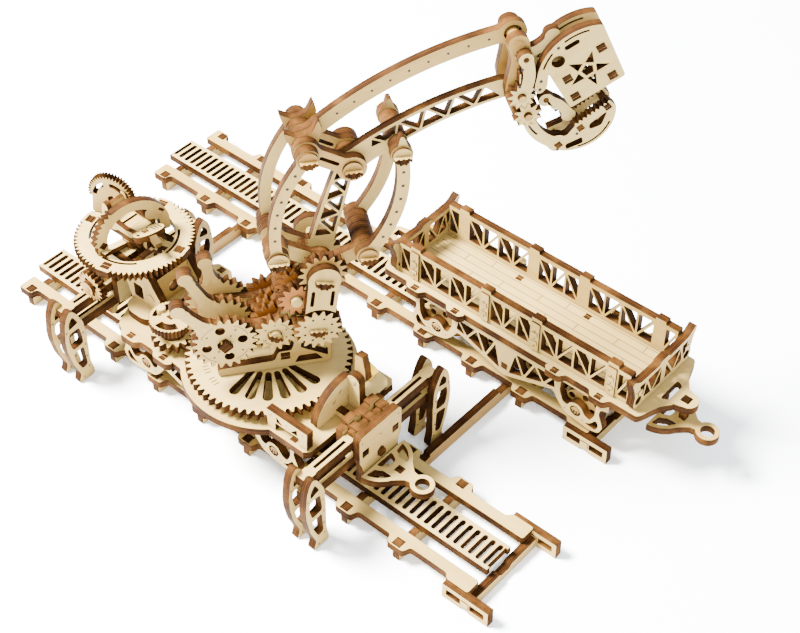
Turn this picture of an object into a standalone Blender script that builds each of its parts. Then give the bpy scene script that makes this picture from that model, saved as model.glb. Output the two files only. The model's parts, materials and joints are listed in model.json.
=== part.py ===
"""Wooden rail-mounted manipulator kit: a car with a slewing grab arm, a goods wagon and two tracks.

Everything is cut from one thickness of plywood. Lengths below are in millimetres; the helper
functions turn them into metres. X runs along the tracks, Y from the near to the far track, Z up.
The origin is under the middle of the near track's centre sleeper, on the table.
"""

import math

import bmesh
import bpy
from mathutils import Matrix, Vector

MM = 0.001

# Material and fits
PLY = 3.0
GAP = 0.3
LAYER = PLY + GAP
SINK = 0.25
PIN_R = 1.9
HOLE_R = 2.6
CAP_R = 3.3
CAP_T = 1.5
ROUND_SIDES = 6
CAP_SIDES = 8
SPOOL_SIDES = 10
WHEEL_SIDES = 12
FILL_SLANT = 17.0

# Gears
MODULE = 0.95
JAW_MODULE = 0.77
ADDENDUM = 0.8
DEDENDUM = 1.2
SLEW_TEETH = 60
LEVER_TEETH = 22
MID_TEETH = 14
DOTTED_TEETH = 16
IDLER_TEETH = 12
TOP_TEETH = 16
HAND_TEETH = 15
RING_TEETH = 44
CABIN_PINION_TEETH = 12
JAW_TEETH = 10
COG_TEETH = 14

# Tracks
TRACK_SPACING = 81.5
FAR_TRACK_SHIFT = -11.5
RAIL_TOP = 7.4
RACK_WIDTH = 12.8
SLOT_PITCH = 3.2
RACK_SLOTS = 70
SLOT_LENGTH = 9.6
SLOT_WIDTH = 1.3
FIRST_SLOT_X = 97.0
RAIL_LEFT = -121.6
RAIL_RIGHT = 100.4
RAIL_INNER = 11.5
RAIL_WIDTH = 4.9
EAR_REACH = 2.6
EAR_LENGTH = 7.0
SLEEPER_PITCH = 23.36
SLEEPERS_LEFT = 5
SLEEPERS_RIGHT = 3
SLEEPER_HALF = 18.2
END_SLEEPER_X = 101.0
CONNECTOR_LENGTH = 19.2
CONNECTOR_HEIGHT = 7.0
CONNECTOR_INNER = 16.8
TIE_RIGHT_X = 50.7
TIE_LEFT_X = -85.5
TIE_HEIGHT = 5.6

# Rolling gear shared by the car and the wagon
WHEEL_R = 6.9
AXLE_Z = RAIL_TOP + 7.0
AXLE_R = 1.6
FLANGE_R = 8.2
WHEEL_INNER = 11.1
WHEEL_T = PLY - 0.1
AXLE_OFFSET = 32.0
DECK_TOP = 29.8

# Car
CAR_X = -16.8
DECK_HALF = 22.6
DECK_LEFT = -46.2
DECK_RIGHT = 51.7
CAR_FRAME_OUTER = 19.2
FOOT_INNER_X = 55.2
FOOT_OUTER_X = 62.8
BAR_TOP = 33.3
BAR_HEIGHT = 4.2
LOWER_BAR_Z = 23.4
BUMPER_HALF = 10.7
OUTRIGGER_TRAVEL = 6.0
HOOK_R = 11.2
HOOK_START = 84.0
HOOK_PIN_X = 8.7

# Turret
SLEW_X = -4.2
SLEW_TOP = 34.9
ARM_HEADING = 53.0
HAND_WHEEL_R = 8.0
HAND_WHEEL_Z = 41.0
HAND_ANGLE = 204.7

# Cabin
CABIN_X = -70.1
RING_TOP = 51.5
RING_INNER = 16.6

# Points of the gear train and the arm in the arm plane (along the heading, height)
LEVER_AXIS = Vector((-15.7, 53.8))
DOTTED_AXIS = Vector((15.5, 57.3))
SHOULDER = Vector((18.2, 78.7))
REAR_PIVOT = Vector((3.8, 87.4))
LINK_VECTOR = Vector((11.0, 40.0))
CRANK_VECTOR = Vector((15.0, 5.9))
WRIST = Vector((81.6, 141.0))
WRIST_GEAR_LEAN = -72.0
ROD_END = Vector((80.5, 158.0))
ROD_PLAY = 0.75
LEVER_LENGTH = 26.0
LEVER_ANGLES = (129.0, 115.0, 98.0)
ELBOW = SHOULDER + LINK_VECTOR
REAR_ELBOW = REAR_PIVOT + LINK_VECTOR
CRANK_PIN = SHOULDER + CRANK_VECTOR
BOOM_TAIL = ELBOW + CRANK_VECTOR

# Wagon
WAGON_X = 50.6
WAGON_HALF_LENGTH = 57.6
WAGON_HALF_WIDTH = 18.1
WAGON_FRAME_OUTER = WHEEL_INNER + WHEEL_T + GAP + PLY
PANEL_TOP = 44.0
PANEL_Y = WAGON_HALF_WIDTH - 4.0
END_PANEL_X = WAGON_HALF_LENGTH - 4.5
END_PANEL_TOP = 42.5
WING_HALF = WAGON_HALF_WIDTH + 1.4
WAGON_PIN_X = WAGON_HALF_LENGTH + 7.6
WAGON_EARS = (0.391 * WAGON_HALF_LENGTH, 0.719 * WAGON_HALF_LENGTH)
PANEL_POSTS = (0.196 * WAGON_HALF_LENGTH, 0.762 * WAGON_HALF_LENGTH)

PLYWOOD = {
    "birch_face": (0.80, 0.66, 0.42, 1.0),
    "birch_warm": (0.74, 0.56, 0.32, 1.0),
    "birch_pale": (0.84, 0.72, 0.50, 1.0),
}


def clear_scene():
    """Remove every object, so the script starts from nothing."""
    for item in list(bpy.data.objects):
        bpy.data.objects.remove(item, do_unlink=True)


def make_collection(name):
    """A collection linked to the scene."""
    group = bpy.data.collections.new(name)
    bpy.context.scene.collection.children.link(group)
    return group


# Planes that plates are cut in
def moved(x, y, z):
    """A translation in millimetres."""
    return Matrix.Translation(Vector((x, y, z)) * MM)


def axes(along, up, out):
    """A rotation from the plate's own axes to three world directions."""
    matrix = Matrix.Identity(4)
    for column, direction in enumerate((along, up, out)):
        for row in range(3):
            matrix[row][column] = direction[row]
    return matrix


FLAT = Matrix.Identity(4)
FACING_NEAR = axes((1, 0, 0), (0, 0, 1), (0, -1, 0))
FACING_RIGHT = axes((0, 1, 0), (0, 0, 1), (1, 0, 0))
HEADING = math.radians(ARM_HEADING)
ARM_PLANE = moved(SLEW_X, 0, 0) @ axes(
    (math.cos(HEADING), math.sin(HEADING), 0),
    (0, 0, 1),
    (math.sin(HEADING), -math.cos(HEADING), 0),
)


def arm_at(point):
    """The arm plane moved to a pivot given along the heading and up."""
    return ARM_PLANE @ moved(point[0], point[1], 0)


# Outlines
def arc(centre, radius, start, end, steps):
    """Points on an arc, angles in degrees."""
    points = []
    for index in range(steps + 1):
        angle = math.radians(start + (end - start) * index / steps)
        points.append((centre[0] + radius * math.cos(angle), centre[1] + radius * math.sin(angle)))
    return points


def disc(centre, radius, sides=ROUND_SIDES, turn=None):
    """A regular polygon that stands for a circle."""
    start = 180.0 / sides if turn is None else turn
    return arc(centre, radius, start, start + 360.0 - 360.0 / sides, sides - 1)


def box_outline(left, bottom, right, top):
    """A rectangle from its limits."""
    return [(left, bottom), (right, bottom), (right, top), (left, top)]


def slanted_box(centre, length, width, angle):
    """A rectangle turned about its centre."""
    direction = Vector((math.cos(math.radians(angle)), math.sin(math.radians(angle))))
    side = Vector((-direction.y, direction.x))
    middle = Vector(centre)
    corners = []
    for along, across in ((-1, -1), (1, -1), (1, 1), (-1, 1)):
        corner = middle + direction * along * length / 2 + side * across * width / 2
        corners.append((corner.x, corner.y))
    return corners


def turned(points, angle):
    """The same outline turned about its origin."""
    cosine = math.cos(math.radians(angle))
    sine = math.sin(math.radians(angle))
    return [(x * cosine - y * sine, x * sine + y * cosine) for x, y in points]


def both_sides(half):
    """A closed outline from its right half, listed from bottom to top."""
    return half + [(-x, y) for x, y in reversed(half)]


def flipped(points):
    """An outline mirrored left to right."""
    return [(-x, y) for x, y in points]


def inset_triangle(corners, margin):
    """A triangle with each side moved inwards."""
    a, b, c = (Vector(corner) for corner in corners)
    side_a, side_b, side_c = (b - c).length, (c - a).length, (a - b).length
    around = side_a + side_b + side_c
    centre = (a * side_a + b * side_b + c * side_c) / around
    area = abs((b - a).x * (c - a).y - (b - a).y * (c - a).x) / 2
    inner = 2 * area / around
    factor = (inner - margin) / inner
    if factor <= 0.12:
        return None
    return [tuple(centre + (corner - centre) * factor) for corner in (a, b, c)]


def bow_point(start, end, sagitta, share):
    """A point on the arc-like curve from start to end, and the curve's direction there."""
    chord = Vector(end) - Vector(start)
    side = Vector((-chord.y, chord.x)).normalized()
    bow = 4 * sagitta * share * (1 - share)
    slope = 4 * sagitta * (1 - 2 * share)
    point = Vector(start) + chord * share + side * bow
    direction = (chord + side * slope).normalized()
    return point, direction


def link_outline(start, end, sagitta, width, start_r, end_r, steps=5, end_steps=5):
    """A curved strip with a round eye at each end."""
    left, right = [], []
    length = (Vector(end) - Vector(start)).length
    first = start_r * 0.9 / length
    last = 1 - end_r * 0.9 / length
    for index in range(steps + 1):
        share = first + (last - first) * index / steps
        point, direction = bow_point(start, end, sagitta, share)
        side = Vector((-direction.y, direction.x)) * width / 2
        left.append(tuple(point + side))
        right.append(tuple(point - side))
    point, direction = bow_point(start, end, sagitta, 1.0)
    heading = math.degrees(math.atan2(direction.y, direction.x))
    open_half = math.degrees(math.asin(min(0.95, width / 2 / end_r)))
    far_eye = arc(end, end_r, heading - 180 + open_half + 12, heading + 180 - open_half - 12, end_steps)
    point, direction = bow_point(start, end, sagitta, 0.0)
    heading = math.degrees(math.atan2(direction.y, direction.x))
    open_half = math.degrees(math.asin(min(0.95, width / 2 / start_r)))
    near_eye = arc(start, start_r, heading + open_half + 12, heading + 360 - open_half - 12, end_steps)
    return right + far_eye + left[::-1] + near_eye


def gear_outline(teeth, module, phase=0.0):
    """Pointed straight-sided teeth, the first one centred on the phase angle in degrees."""
    pitch = 360.0 / teeth
    tip_r = module * (teeth / 2 + ADDENDUM)
    root_r = module * (teeth / 2 - DEDENDUM)
    points = []
    for tooth in range(teeth):
        for radius, share in ((root_r, -0.5), (tip_r, 0.0)):
            angle = math.radians(phase + (tooth + share) * pitch)
            points.append((radius * math.cos(angle), radius * math.sin(angle)))
    return points


def pitch_radius(teeth, module=MODULE):
    """Half the pitch diameter."""
    return teeth * module / 2


def meshing_phase(centre, teeth, phase, other_centre, other_teeth):
    """The phase that puts the second gear's gaps on the first gear's teeth."""
    line = Vector(other_centre) - Vector(centre)
    angle = math.degrees(math.atan2(line.y, line.x))
    share = ((angle - phase) * teeth / 360.0) % 1.0
    return angle + 180.0 + (share + 0.5) * 360.0 / other_teeth


def touching_centre(first, first_r, second, second_r, side):
    """The point at two given distances from two centres, on one side of their line."""
    line = Vector(second) - Vector(first)
    distance = line.length
    along = (distance ** 2 + first_r ** 2 - second_r ** 2) / (2 * distance)
    across = math.sqrt(first_r ** 2 - along ** 2)
    direction = line.normalized()
    return Vector(first) + direction * along + Vector((-direction.y, direction.x)) * across * side


# Solids
def plate(outline, holes=(), place=FLAT, thickness=PLY, slant=FILL_SLANT):
    """A flat plate as a closed mesh, cut from a 2D curve that is filled at a slant."""
    curve = bpy.data.curves.new("outline", "CURVE")
    curve.dimensions = "2D"
    curve.fill_mode = "BOTH"
    curve.extrude = thickness / 2 * MM
    for loop in (outline, *holes):
        spline = curve.splines.new("POLY")
        spline.points.add(len(loop) - 1)
        for point, (x, y) in zip(spline.points, turned(loop, slant)):
            point.co = (x * MM, y * MM, 0, 1)
        spline.use_cyclic_u = True
    shape = bpy.data.objects.new("outline", curve)
    bpy.context.scene.collection.objects.link(shape)
    depsgraph = bpy.context.evaluated_depsgraph_get()
    mesh = bpy.data.meshes.new_from_object(shape.evaluated_get(depsgraph))
    bpy.data.objects.remove(shape, do_unlink=True)
    mesh.transform(Matrix.Rotation(math.radians(-slant), 4, "Z"))
    weld(mesh)
    solid = bpy.data.objects.new("plate", mesh)
    solid.matrix_world = place
    bpy.context.scene.collection.objects.link(solid)
    return solid


def weld(mesh):
    """Join the loose caps of a filled curve to its sides."""
    work = bmesh.new()
    work.from_mesh(mesh)
    bmesh.ops.remove_doubles(work, verts=work.verts, dist=0.000001)
    bmesh.ops.recalc_face_normals(work, faces=work.faces)
    work.to_mesh(mesh)
    work.free()


def tidy(mesh):
    """Take out the points that a union leaves inside flat faces and straight edges."""
    work = bmesh.new()
    work.from_mesh(mesh)
    bmesh.ops.remove_doubles(work, verts=work.verts, dist=0.000001)
    bmesh.ops.dissolve_limit(work, angle_limit=0.002, verts=work.verts, edges=work.edges)
    bmesh.ops.triangulate(work, faces=work.faces, quad_method="BEAUTY", ngon_method="BEAUTY")
    work.to_mesh(mesh)
    work.free()


def rod(centre, radius, low, high, place, sides=ROUND_SIDES):
    """A round pin normal to the plate's plane, from one depth to another."""
    middle = (low + high) / 2
    return plate(disc(centre, radius, sides), (), place @ moved(0, 0, middle), high - low)


def block(left, bottom, right, top, low, high, place):
    """A rectangular bar between two depths of a plane."""
    middle = (low + high) / 2
    return plate(box_outline(left, bottom, right, top), (), place @ moved(0, 0, middle), high - low)


def fuse(name, pieces, colour="birch_face"):
    """Join pieces into the one solid of a node; its origin is the first piece's."""
    base = pieces[0]
    for other in pieces[1:]:
        joint = base.modifiers.new("join", "BOOLEAN")
        joint.operation = "UNION"
        joint.solver = "EXACT"
        joint.object = other
        bpy.context.view_layer.update()
        depsgraph = bpy.context.evaluated_depsgraph_get()
        mesh = bpy.data.meshes.new_from_object(base.evaluated_get(depsgraph))
        base.modifiers.remove(joint)
        base.data = mesh
        bpy.data.objects.remove(other, do_unlink=True)
    if len(pieces) > 1:
        tidy(base.data)
    base.name = name
    base.data.name = name
    base.data.materials.clear()
    base.data.materials.append(make_material(name, PLYWOOD[colour]))
    for group in list(base.users_collection):
        group.objects.unlink(base)
    MODEL.objects.link(base)
    return base


def make_material(name, colour):
    """A Principled material for one node."""
    material = bpy.data.materials.new(name)
    material.use_nodes = True
    shader = material.node_tree.nodes["Principled BSDF"]
    shader.inputs["Base Color"].default_value = colour
    shader.inputs["Roughness"].default_value = 0.7
    shader.inputs["Metallic"].default_value = 0.0
    return material


def layer(index):
    """Depth of a ply layer's middle, counted from the arm plane."""
    return index * LAYER


def face(index, side):
    """Depth of a ply layer's face on its low (-1) or high (+1) side."""
    return index * LAYER + side * PLY / 2


# Tracks
def build_track(prefix, centre_y, shift):
    """A slotted rack and the rail frame that carries it."""
    rack_left = FIRST_SLOT_X - (RACK_SLOTS - 0.6) * SLOT_PITCH
    rack_right = FIRST_SLOT_X + 0.75 * SLOT_PITCH
    half = RACK_WIDTH / 2
    notch = SLOT_LENGTH / 2
    outline = [
        (rack_left, -half), (rack_right, -half), (rack_right, -notch), (rack_right - 1.0, -notch),
        (rack_right - 1.0, notch), (rack_right, notch), (rack_right, half), (rack_left, half),
    ]
    slots = []
    for index in range(RACK_SLOTS):
        x = FIRST_SLOT_X - index * SLOT_PITCH
        slots.append(box_outline(x - SLOT_WIDTH / 2, -notch, x + SLOT_WIDTH / 2, notch))
    place = moved(shift, centre_y, RAIL_TOP - PLY / 2)
    fuse(prefix + "_rack", [plate(outline, slots, place, PLY, 0.0)], "birch_pale")

    rail_bottom = RAIL_TOP - PLY
    rail_outer = RAIL_INNER + RAIL_WIDTH
    sleeper_xs = [n * SLEEPER_PITCH for n in range(-SLEEPERS_LEFT, SLEEPERS_RIGHT + 1)]
    pieces = []
    for side in (-1, 1):
        rail = [(RAIL_LEFT, RAIL_INNER), (RAIL_RIGHT, RAIL_INNER), (RAIL_RIGHT, CONNECTOR_INNER + 1.0)]
        rail += [(END_SLEEPER_X - CONNECTOR_LENGTH / 2, CONNECTOR_INNER + 1.0)]
        rail += [(END_SLEEPER_X - CONNECTOR_LENGTH / 2 - 1.4, rail_outer)]
        for x in reversed(sleeper_xs):
            rail += [
                (x + EAR_LENGTH / 2 + 1.0, rail_outer), (x + EAR_LENGTH / 2, rail_outer + EAR_REACH),
                (x - EAR_LENGTH / 2, rail_outer + EAR_REACH), (x - EAR_LENGTH / 2 - 1.0, rail_outer),
            ]
        rail += [(RAIL_LEFT + 3.0, rail_outer), (RAIL_LEFT, rail_outer - 2.0)]
        if side < 0:
            rail = [(x, -y) for x, y in rail]
        pieces.append(plate(rail, (), place))
    under_rail = rail_bottom + SINK
    under_rack = rail_bottom - GAP
    rack_edge = RACK_WIDTH / 2 + GAP
    half_profile = [
        (SLEEPER_HALF, 0), (SLEEPER_HALF, under_rail), (rack_edge, under_rail), (rack_edge, under_rack),
    ]
    for x in sleeper_xs:
        upright = across_at(x + shift, centre_y)
        pieces.append(plate(both_sides(half_profile), (), upright))
    end_profile = [(CONNECTOR_INNER + 1.0, 0)] + [(CONNECTOR_INNER + 1.0, under_rail)] + half_profile[2:]
    upright = across_at(END_SLEEPER_X + shift, centre_y)
    pieces.append(plate(both_sides(end_profile), (), upright))
    reach = CONNECTOR_LENGTH / 2
    for side in (-1, 1):
        connector = [
            (-reach, 0), (-1.6, 0), (-1.6, 0.9), (1.6, 0.9), (1.6, 0), (reach, 0),
            (reach, CONNECTOR_HEIGHT), (-reach, CONNECTOR_HEIGHT),
        ]
        windows = [box_outline(x - 2.9, 2.4, x + 2.9, 5.0) for x in (-4.9, 4.9)]
        middle_y = centre_y + side * (CONNECTOR_INNER + PLY / 2)
        upright = moved(END_SLEEPER_X + shift, middle_y, 0) @ FACING_NEAR
        pieces.append(plate(connector, windows, upright))
    fuse(prefix + "_rail_frame", pieces, "birch_face")


def across_at(x, y):
    """An upright plane across the tracks."""
    return moved(x, y, 0) @ FACING_RIGHT


def build_ties():
    """Boards on edge that hold the two tracks apart."""
    under_rail = RAIL_TOP - PLY - GAP
    start = RAIL_INNER + 0.6
    end = TRACK_SPACING - RAIL_INNER - 0.6
    step_near = SLEEPER_HALF + 2.6
    step_far = TRACK_SPACING - SLEEPER_HALF - 2.6
    outline = [
        (start, 0), (end, 0), (end, under_rail), (step_far, under_rail), (step_far, TIE_HEIGHT),
        (step_near, TIE_HEIGHT), (step_near, under_rail), (start, under_rail),
    ]
    for name, x in (("cross_tie_left", TIE_LEFT_X), ("cross_tie_right", TIE_RIGHT_X)):
        fuse(name, [plate(outline, (), across_at(x, 0))], "birch_warm")


# Rolling gear
def wheel_set(name, x, centre_y, half_length, extra=()):
    """Two flanged wheels on one axle; the origin is on the axle."""
    place = moved(x, centre_y, AXLE_Z) @ FACING_NEAR
    pieces = [rod((0, 0), AXLE_R, -half_length, half_length, place)]
    for side in (-1, 1):
        flange = (side * (WHEEL_INNER - PLY), side * (WHEEL_INNER + SINK))
        tread = (side * WHEEL_INNER, side * (WHEEL_INNER + WHEEL_T))
        pieces.append(rod((0, 0), FLANGE_R, min(flange), max(flange), place, WHEEL_SIDES))
        pieces.append(rod((0, 0), WHEEL_R, min(tread), max(tread), place, WHEEL_SIDES))
    fuse(name, pieces + list(extra), "birch_warm")


def bogie_frame(name, x, plane_y):
    """A side frame: two axle arches, a lobe beyond each, and the belly truss between."""
    top = DECK_TOP - PLY - GAP
    place = moved(x, plane_y, 0) @ FACING_NEAR
    half = [
        (0, 10.6), (11.0, 14.4), (21.5, 18.6), (27.4, 11.4), (33.0, 10.2), (41.0, 9.6),
        (43.8, 13.8), (41.0, 21.0), (45.5, 22.6), (45.5, top),
    ]
    outline = [(px, pz) for px, pz in half] + [(-px, pz) for px, pz in reversed(half[1:])]
    holes = []
    for side in (-1, 1):
        holes.append(disc((side * AXLE_OFFSET, AXLE_Z), HOLE_R - 0.15))
        arch = [(24.6, 22.6), (27.4, 18.2), (34.2, 18.6), (37.4, 17.0), (38.4, 22.6)]
        holes.append([(side * px, pz) for px, pz in arch])
        lower = [(4.4, 15.6), (8.8, 15.6), (13.2, 17.2), (17.6, 19.0), (21.0, 20.4)]
        upper = [(4.4, 22.6), (8.8, 22.6), (13.2, 22.6), (17.6, 22.6), (21.8, 22.6)]
        zig = [lower[0], upper[0], lower[1], upper[2], lower[3], upper[4]]
        for first, second, third in zip(zig, zig[1:], zig[2:]):
            window = inset_triangle((first, second, third), 0.55)
            if window:
                holes.append([(side * px, pz) for px, pz in window])
    fuse(name, [plate(outline, holes, place)], "birch_face")


def coupler_outline():
    """An anchor-shaped hook plate with a ring, from its straight back edge."""
    half = arc((0, 0), HOOK_R, -HOOK_START, -36, 3)
    half += [(12.4, -2.6)]
    ring = arc((18.6, 0), 4.3, -150, 150, 6)
    body = half + ring + [(x, -y) for x, y in reversed(half)]
    crescents = []
    for side in (-1, 1):
        inner = arc((0, 0), 7.4, 32, 68, 1)
        outer = arc((0, 0), 9.2, 68, 32, 1)
        crescents.append([(x, side * y) for x, y in inner + outer])
    holes = crescents + [disc((18.6, 0), 2.6), box_outline(HOOK_PIN_X - 1.5, -1.5, HOOK_PIN_X + 1.5, 1.5)]
    return body, holes


# Car
def build_car():
    """Deck, side frames, buffer block, coupler, bench, control box and outriggers."""
    place = moved(CAR_X, 0, DECK_TOP - PLY / 2)
    slew = SLEW_X - CAR_X
    bulge_r = 31.2
    swing = math.degrees(math.asin(DECK_HALF / bulge_r))
    lower = [(DECK_LEFT, -12.0), (DECK_LEFT + 4.5, -DECK_HALF + 1.0)]
    for lug in (-34.0, -17.5):
        lower += [
            (lug - 5.0, -DECK_HALF), (lug - 3.4, -DECK_HALF - 2.2),
            (lug + 3.4, -DECK_HALF - 2.2), (lug + 5.0, -DECK_HALF),
        ]
    lower += arc((slew, 0), bulge_r, 180 + swing, 360 - swing, 6)
    lower += [(DECK_RIGHT - 2.0, -DECK_HALF), (DECK_RIGHT, -DECK_HALF + 2.0)]
    outline = lower + [(x, -y) for x, y in reversed(lower)]
    fuse("deck", [plate(outline, [disc((slew, 0), 3.6, CAP_SIDES)], place)], "birch_face")

    middle = CAR_FRAME_OUTER - PLY / 2
    bogie_frame("side_frame_near", CAR_X, -middle)
    bogie_frame("side_frame_far", CAR_X, middle)
    wheel_set("wheel_set_left", CAR_X - AXLE_OFFSET, 0, CAR_FRAME_OUTER)
    wheel_set("wheel_set_right", CAR_X + AXLE_OFFSET, 0, CAR_FRAME_OUTER, [drive_cog()])
    build_buffers()
    build_bench()
    build_controls()
    for end, end_name in ((1, "right"), (-1, "left")):
        for side, side_name in ((-1, "near"), (1, "far")):
            outrigger("outrigger_%s_%s" % (end_name, side_name), end, side)


def drive_cog():
    """The cog between the right wheels; one tooth stands in the nearest slot of the rack."""
    x = CAR_X + AXLE_OFFSET
    place = moved(x, 0, AXLE_Z) @ FACING_NEAR
    offset = (x - FIRST_SLOT_X) % SLOT_PITCH
    if offset > SLOT_PITCH / 2:
        offset -= SLOT_PITCH
    roll_r = COG_TEETH * SLOT_PITCH / (2 * math.pi)
    phase = -90.0 - math.degrees(offset / roll_r)
    points = []
    for tooth in range(COG_TEETH):
        middle = phase + tooth * 360.0 / COG_TEETH
        for radius, half_width in ((6.2, -0.55), (8.1, 0.0), (6.2, 0.55)):
            angle = math.radians(middle) + half_width / radius
            points.append((radius * math.cos(angle), radius * math.sin(angle)))
    return plate(points, (), place)


def bumper_outline():
    """The end plate of the buffer block, half a plate wide from bottom to top."""
    top = BAR_TOP + GAP + PLY
    return both_sides([
        (5.0, 17.6), (6.6, 13.0), (9.4, 13.2), (8.7, 19.0),
        (BUMPER_HALF, 24.4), (BUMPER_HALF, top - 1.4), (BUMPER_HALF - 1.4, top),
    ])


def build_buffers():
    """At each end, two notched plates and the spacers that guide the outrigger bars."""
    bar_low = BAR_TOP - BAR_HEIGHT
    low_top = LOWER_BAR_Z + BAR_HEIGHT / 2
    low_bottom = LOWER_BAR_Z - BAR_HEIGHT / 2
    windows = [box_outline(x - 1.3, 25.8, x + 1.3, 28.4) for x in (-7.8, 7.8)]
    for end, name in ((1, "buffer_right"), (-1, "buffer_left")):
        inner = CAR_X + end * FOOT_INNER_X
        outer = CAR_X + end * FOOT_OUTER_X
        pieces = [plate(bumper_outline(), windows, across_at(outer, 0))]
        pieces.append(plate(bumper_outline(), (), across_at(inner, 0)))
        near_face, far_face = sorted((inner, outer))
        reach = BUMPER_HALF - 2.0
        levels = ((BAR_TOP + GAP, BAR_TOP + GAP + PLY - 0.4), (low_top + GAP, bar_low - GAP))
        levels += ((low_bottom - GAP - 2.4, low_bottom - GAP),)
        for bottom, top in levels:
            width = reach if bottom > 20 else 6.0
            pieces.append(block(-width, bottom, width, top, near_face + 1.0, far_face - 1.0, FACING_RIGHT))
        boss_low, boss_high = sorted((outer, outer + end * 4.2))
        pieces.append(block(-1.6, 20.2, 1.6, 23.4, boss_low, boss_high, FACING_RIGHT))
        root_low, root_high = sorted((CAR_X + end * 43.0, inner))
        pieces.append(block(-5.0, 23.8, 5.0, 26.2, root_low, root_high, FACING_RIGHT))
        fuse(name, pieces, "birch_warm")
    body, holes = coupler_outline()
    back = HOOK_R * math.cos(math.radians(HOOK_START))
    place = moved(CAR_X + FOOT_OUTER_X + PLY / 2 + GAP - back, 0, 17.6)
    fuse("coupler", [plate(body, holes, place)], "birch_pale")


def build_bench():
    """A board on edge, on two pierced legs, along the near side of the deck."""
    top = 36.8
    base = DECK_TOP + GAP
    left, right = 36.2, 51.0
    outline = [
        (left, base), (left + 4.6, base), (left + 5.6, top - 3.2), (right - 5.6, top - 3.2),
        (right - 4.6, base), (right, base), (right, top), (left, top),
    ]
    holes = [
        [(left + 1.4, base + 1.4), (left + 3.6, base + 1.4), (left + 2.0, base + 3.6)],
        [(right - 1.4, base + 1.4), (right - 2.0, base + 3.6), (right - 3.6, base + 1.4)],
    ]
    place = moved(CAR_X, -20.0, 0) @ FACING_NEAR
    fuse("bench", [plate(outline, holes, place)], "birch_face")


def build_controls():
    """Curved guard, post, desk with a small block on it, and the brake lever."""
    base = DECK_TOP + GAP
    guard_x = 45.2
    post_x = 49.0
    pivot_z = base + 12.6
    guard = [(-12.6, base), (4.0, base), (4.0, base + 14.6)] + arc((4.0, base + 1.0), 16.4, 97, 176, 4)
    post = [(post_x - 3.0, base), (post_x + 3.0, base), (post_x + 3.0, base + 9.5)]
    post += arc((post_x, pivot_z), 2.7, -10, 190, 4) + [(post_x - 3.0, base + 9.5)]
    side = [(43.2, base), (52.4, base), (52.4, base + 3.4), (43.2, base + 8.6)]
    tilt = Matrix.Rotation(math.atan2(5.2, 9.2), 4, "Y")
    slope = moved(CAR_X + 47.8, 11.9, base + 6.8) @ tilt
    top_plate = [(-5.3, -5.4), (5.3, -5.4), (5.3, 3.6), (3.5, 5.4), (-5.3, 5.4)]
    across = moved(CAR_X, 0, 0) @ FACING_NEAR
    pieces = [
        plate(post, (), across @ moved(0, 0, -4.9)),
        plate(guard, (), across_at(CAR_X + guard_x, 0)),
        plate(side, (), across @ moved(0, 0, -8.0)),
        plate(side, (), across @ moved(0, 0, -14.6)),
        plate(top_plate, (), slope, 2.4),
        plate(box_outline(3.0, base + 2.0, 14.0, base + 5.2), (), across_at(CAR_X + guard_x, 0)),
        plate(box_outline(-2.4, -2.2, 2.4, 2.2), (), slope @ moved(-2.4, 1.4, 2.4), PLY),
        rod((post_x, pivot_z), 1.3, -11.0, -5.0, across),
    ]
    fuse("control_box", pieces, "birch_pale")

    pivot = across @ moved(post_x, pivot_z, -8.4)
    handle = link_outline((0, 0), (-5.5, 10.5), 0, 3.0, 3.2, 1.8, 1, 5)
    fuse("brake_lever", [plate(handle, [disc((0, 0), 1.9)], pivot, PLY)], "birch_warm")


def outrigger(name, end, side):
    """A pair of curved foot plates on two slotted bars; it slides across the car."""
    back = [(-27.5, 7.4), (-26.6, GAP), (-34.4, GAP), (-33.2, 3.6)]
    front = [(-35.8, 12.0), (-37.2, 22.0), (-36.4, 31.4), (-33.1, 36.5)]
    crest = [(-31.0, 36.2), (-28.8, 29.0), (-27.5, 20.0)]
    outline = back + front + crest
    windows = [
        [(-29.8, 18.6), (-34.2, 18.2), (-34.4, 24.8), (-30.0, 25.4)],
        [(-29.6, 7.6), (-32.6, 7.2), (-34.4, 15.4), (-30.0, 15.6)],
    ]
    if side > 0:
        outline = flipped(outline)
        windows = [flipped(window) for window in windows]
    pieces = []
    for x in (FOOT_OUTER_X, FOOT_INNER_X):
        pieces.append(plate(outline, windows, across_at(CAR_X + end * x, 0)))
    between = (FOOT_OUTER_X - FOOT_INNER_X - PLY) / 2
    thin = between - GAP
    wide = between + SINK
    tip = OUTRIGGER_TRAVEL + 0.5
    bar = [
        (thin, -tip), (thin, -28.4), (wide, -28.4), (wide, -33.4),
        (-wide, -33.4), (-wide, -28.4), (-thin, -28.4), (-thin, -tip),
    ]
    if side > 0:
        bar = [(x, -y) for x, y in bar]
    for bar_mid in (BAR_TOP - BAR_HEIGHT / 2, LOWER_BAR_Z):
        middle = moved(CAR_X + end * (FOOT_INNER_X + FOOT_OUTER_X) / 2, 0, bar_mid)
        pieces.append(plate(bar, (), middle, BAR_HEIGHT))
    fuse(name, pieces, "birch_face")


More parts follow.
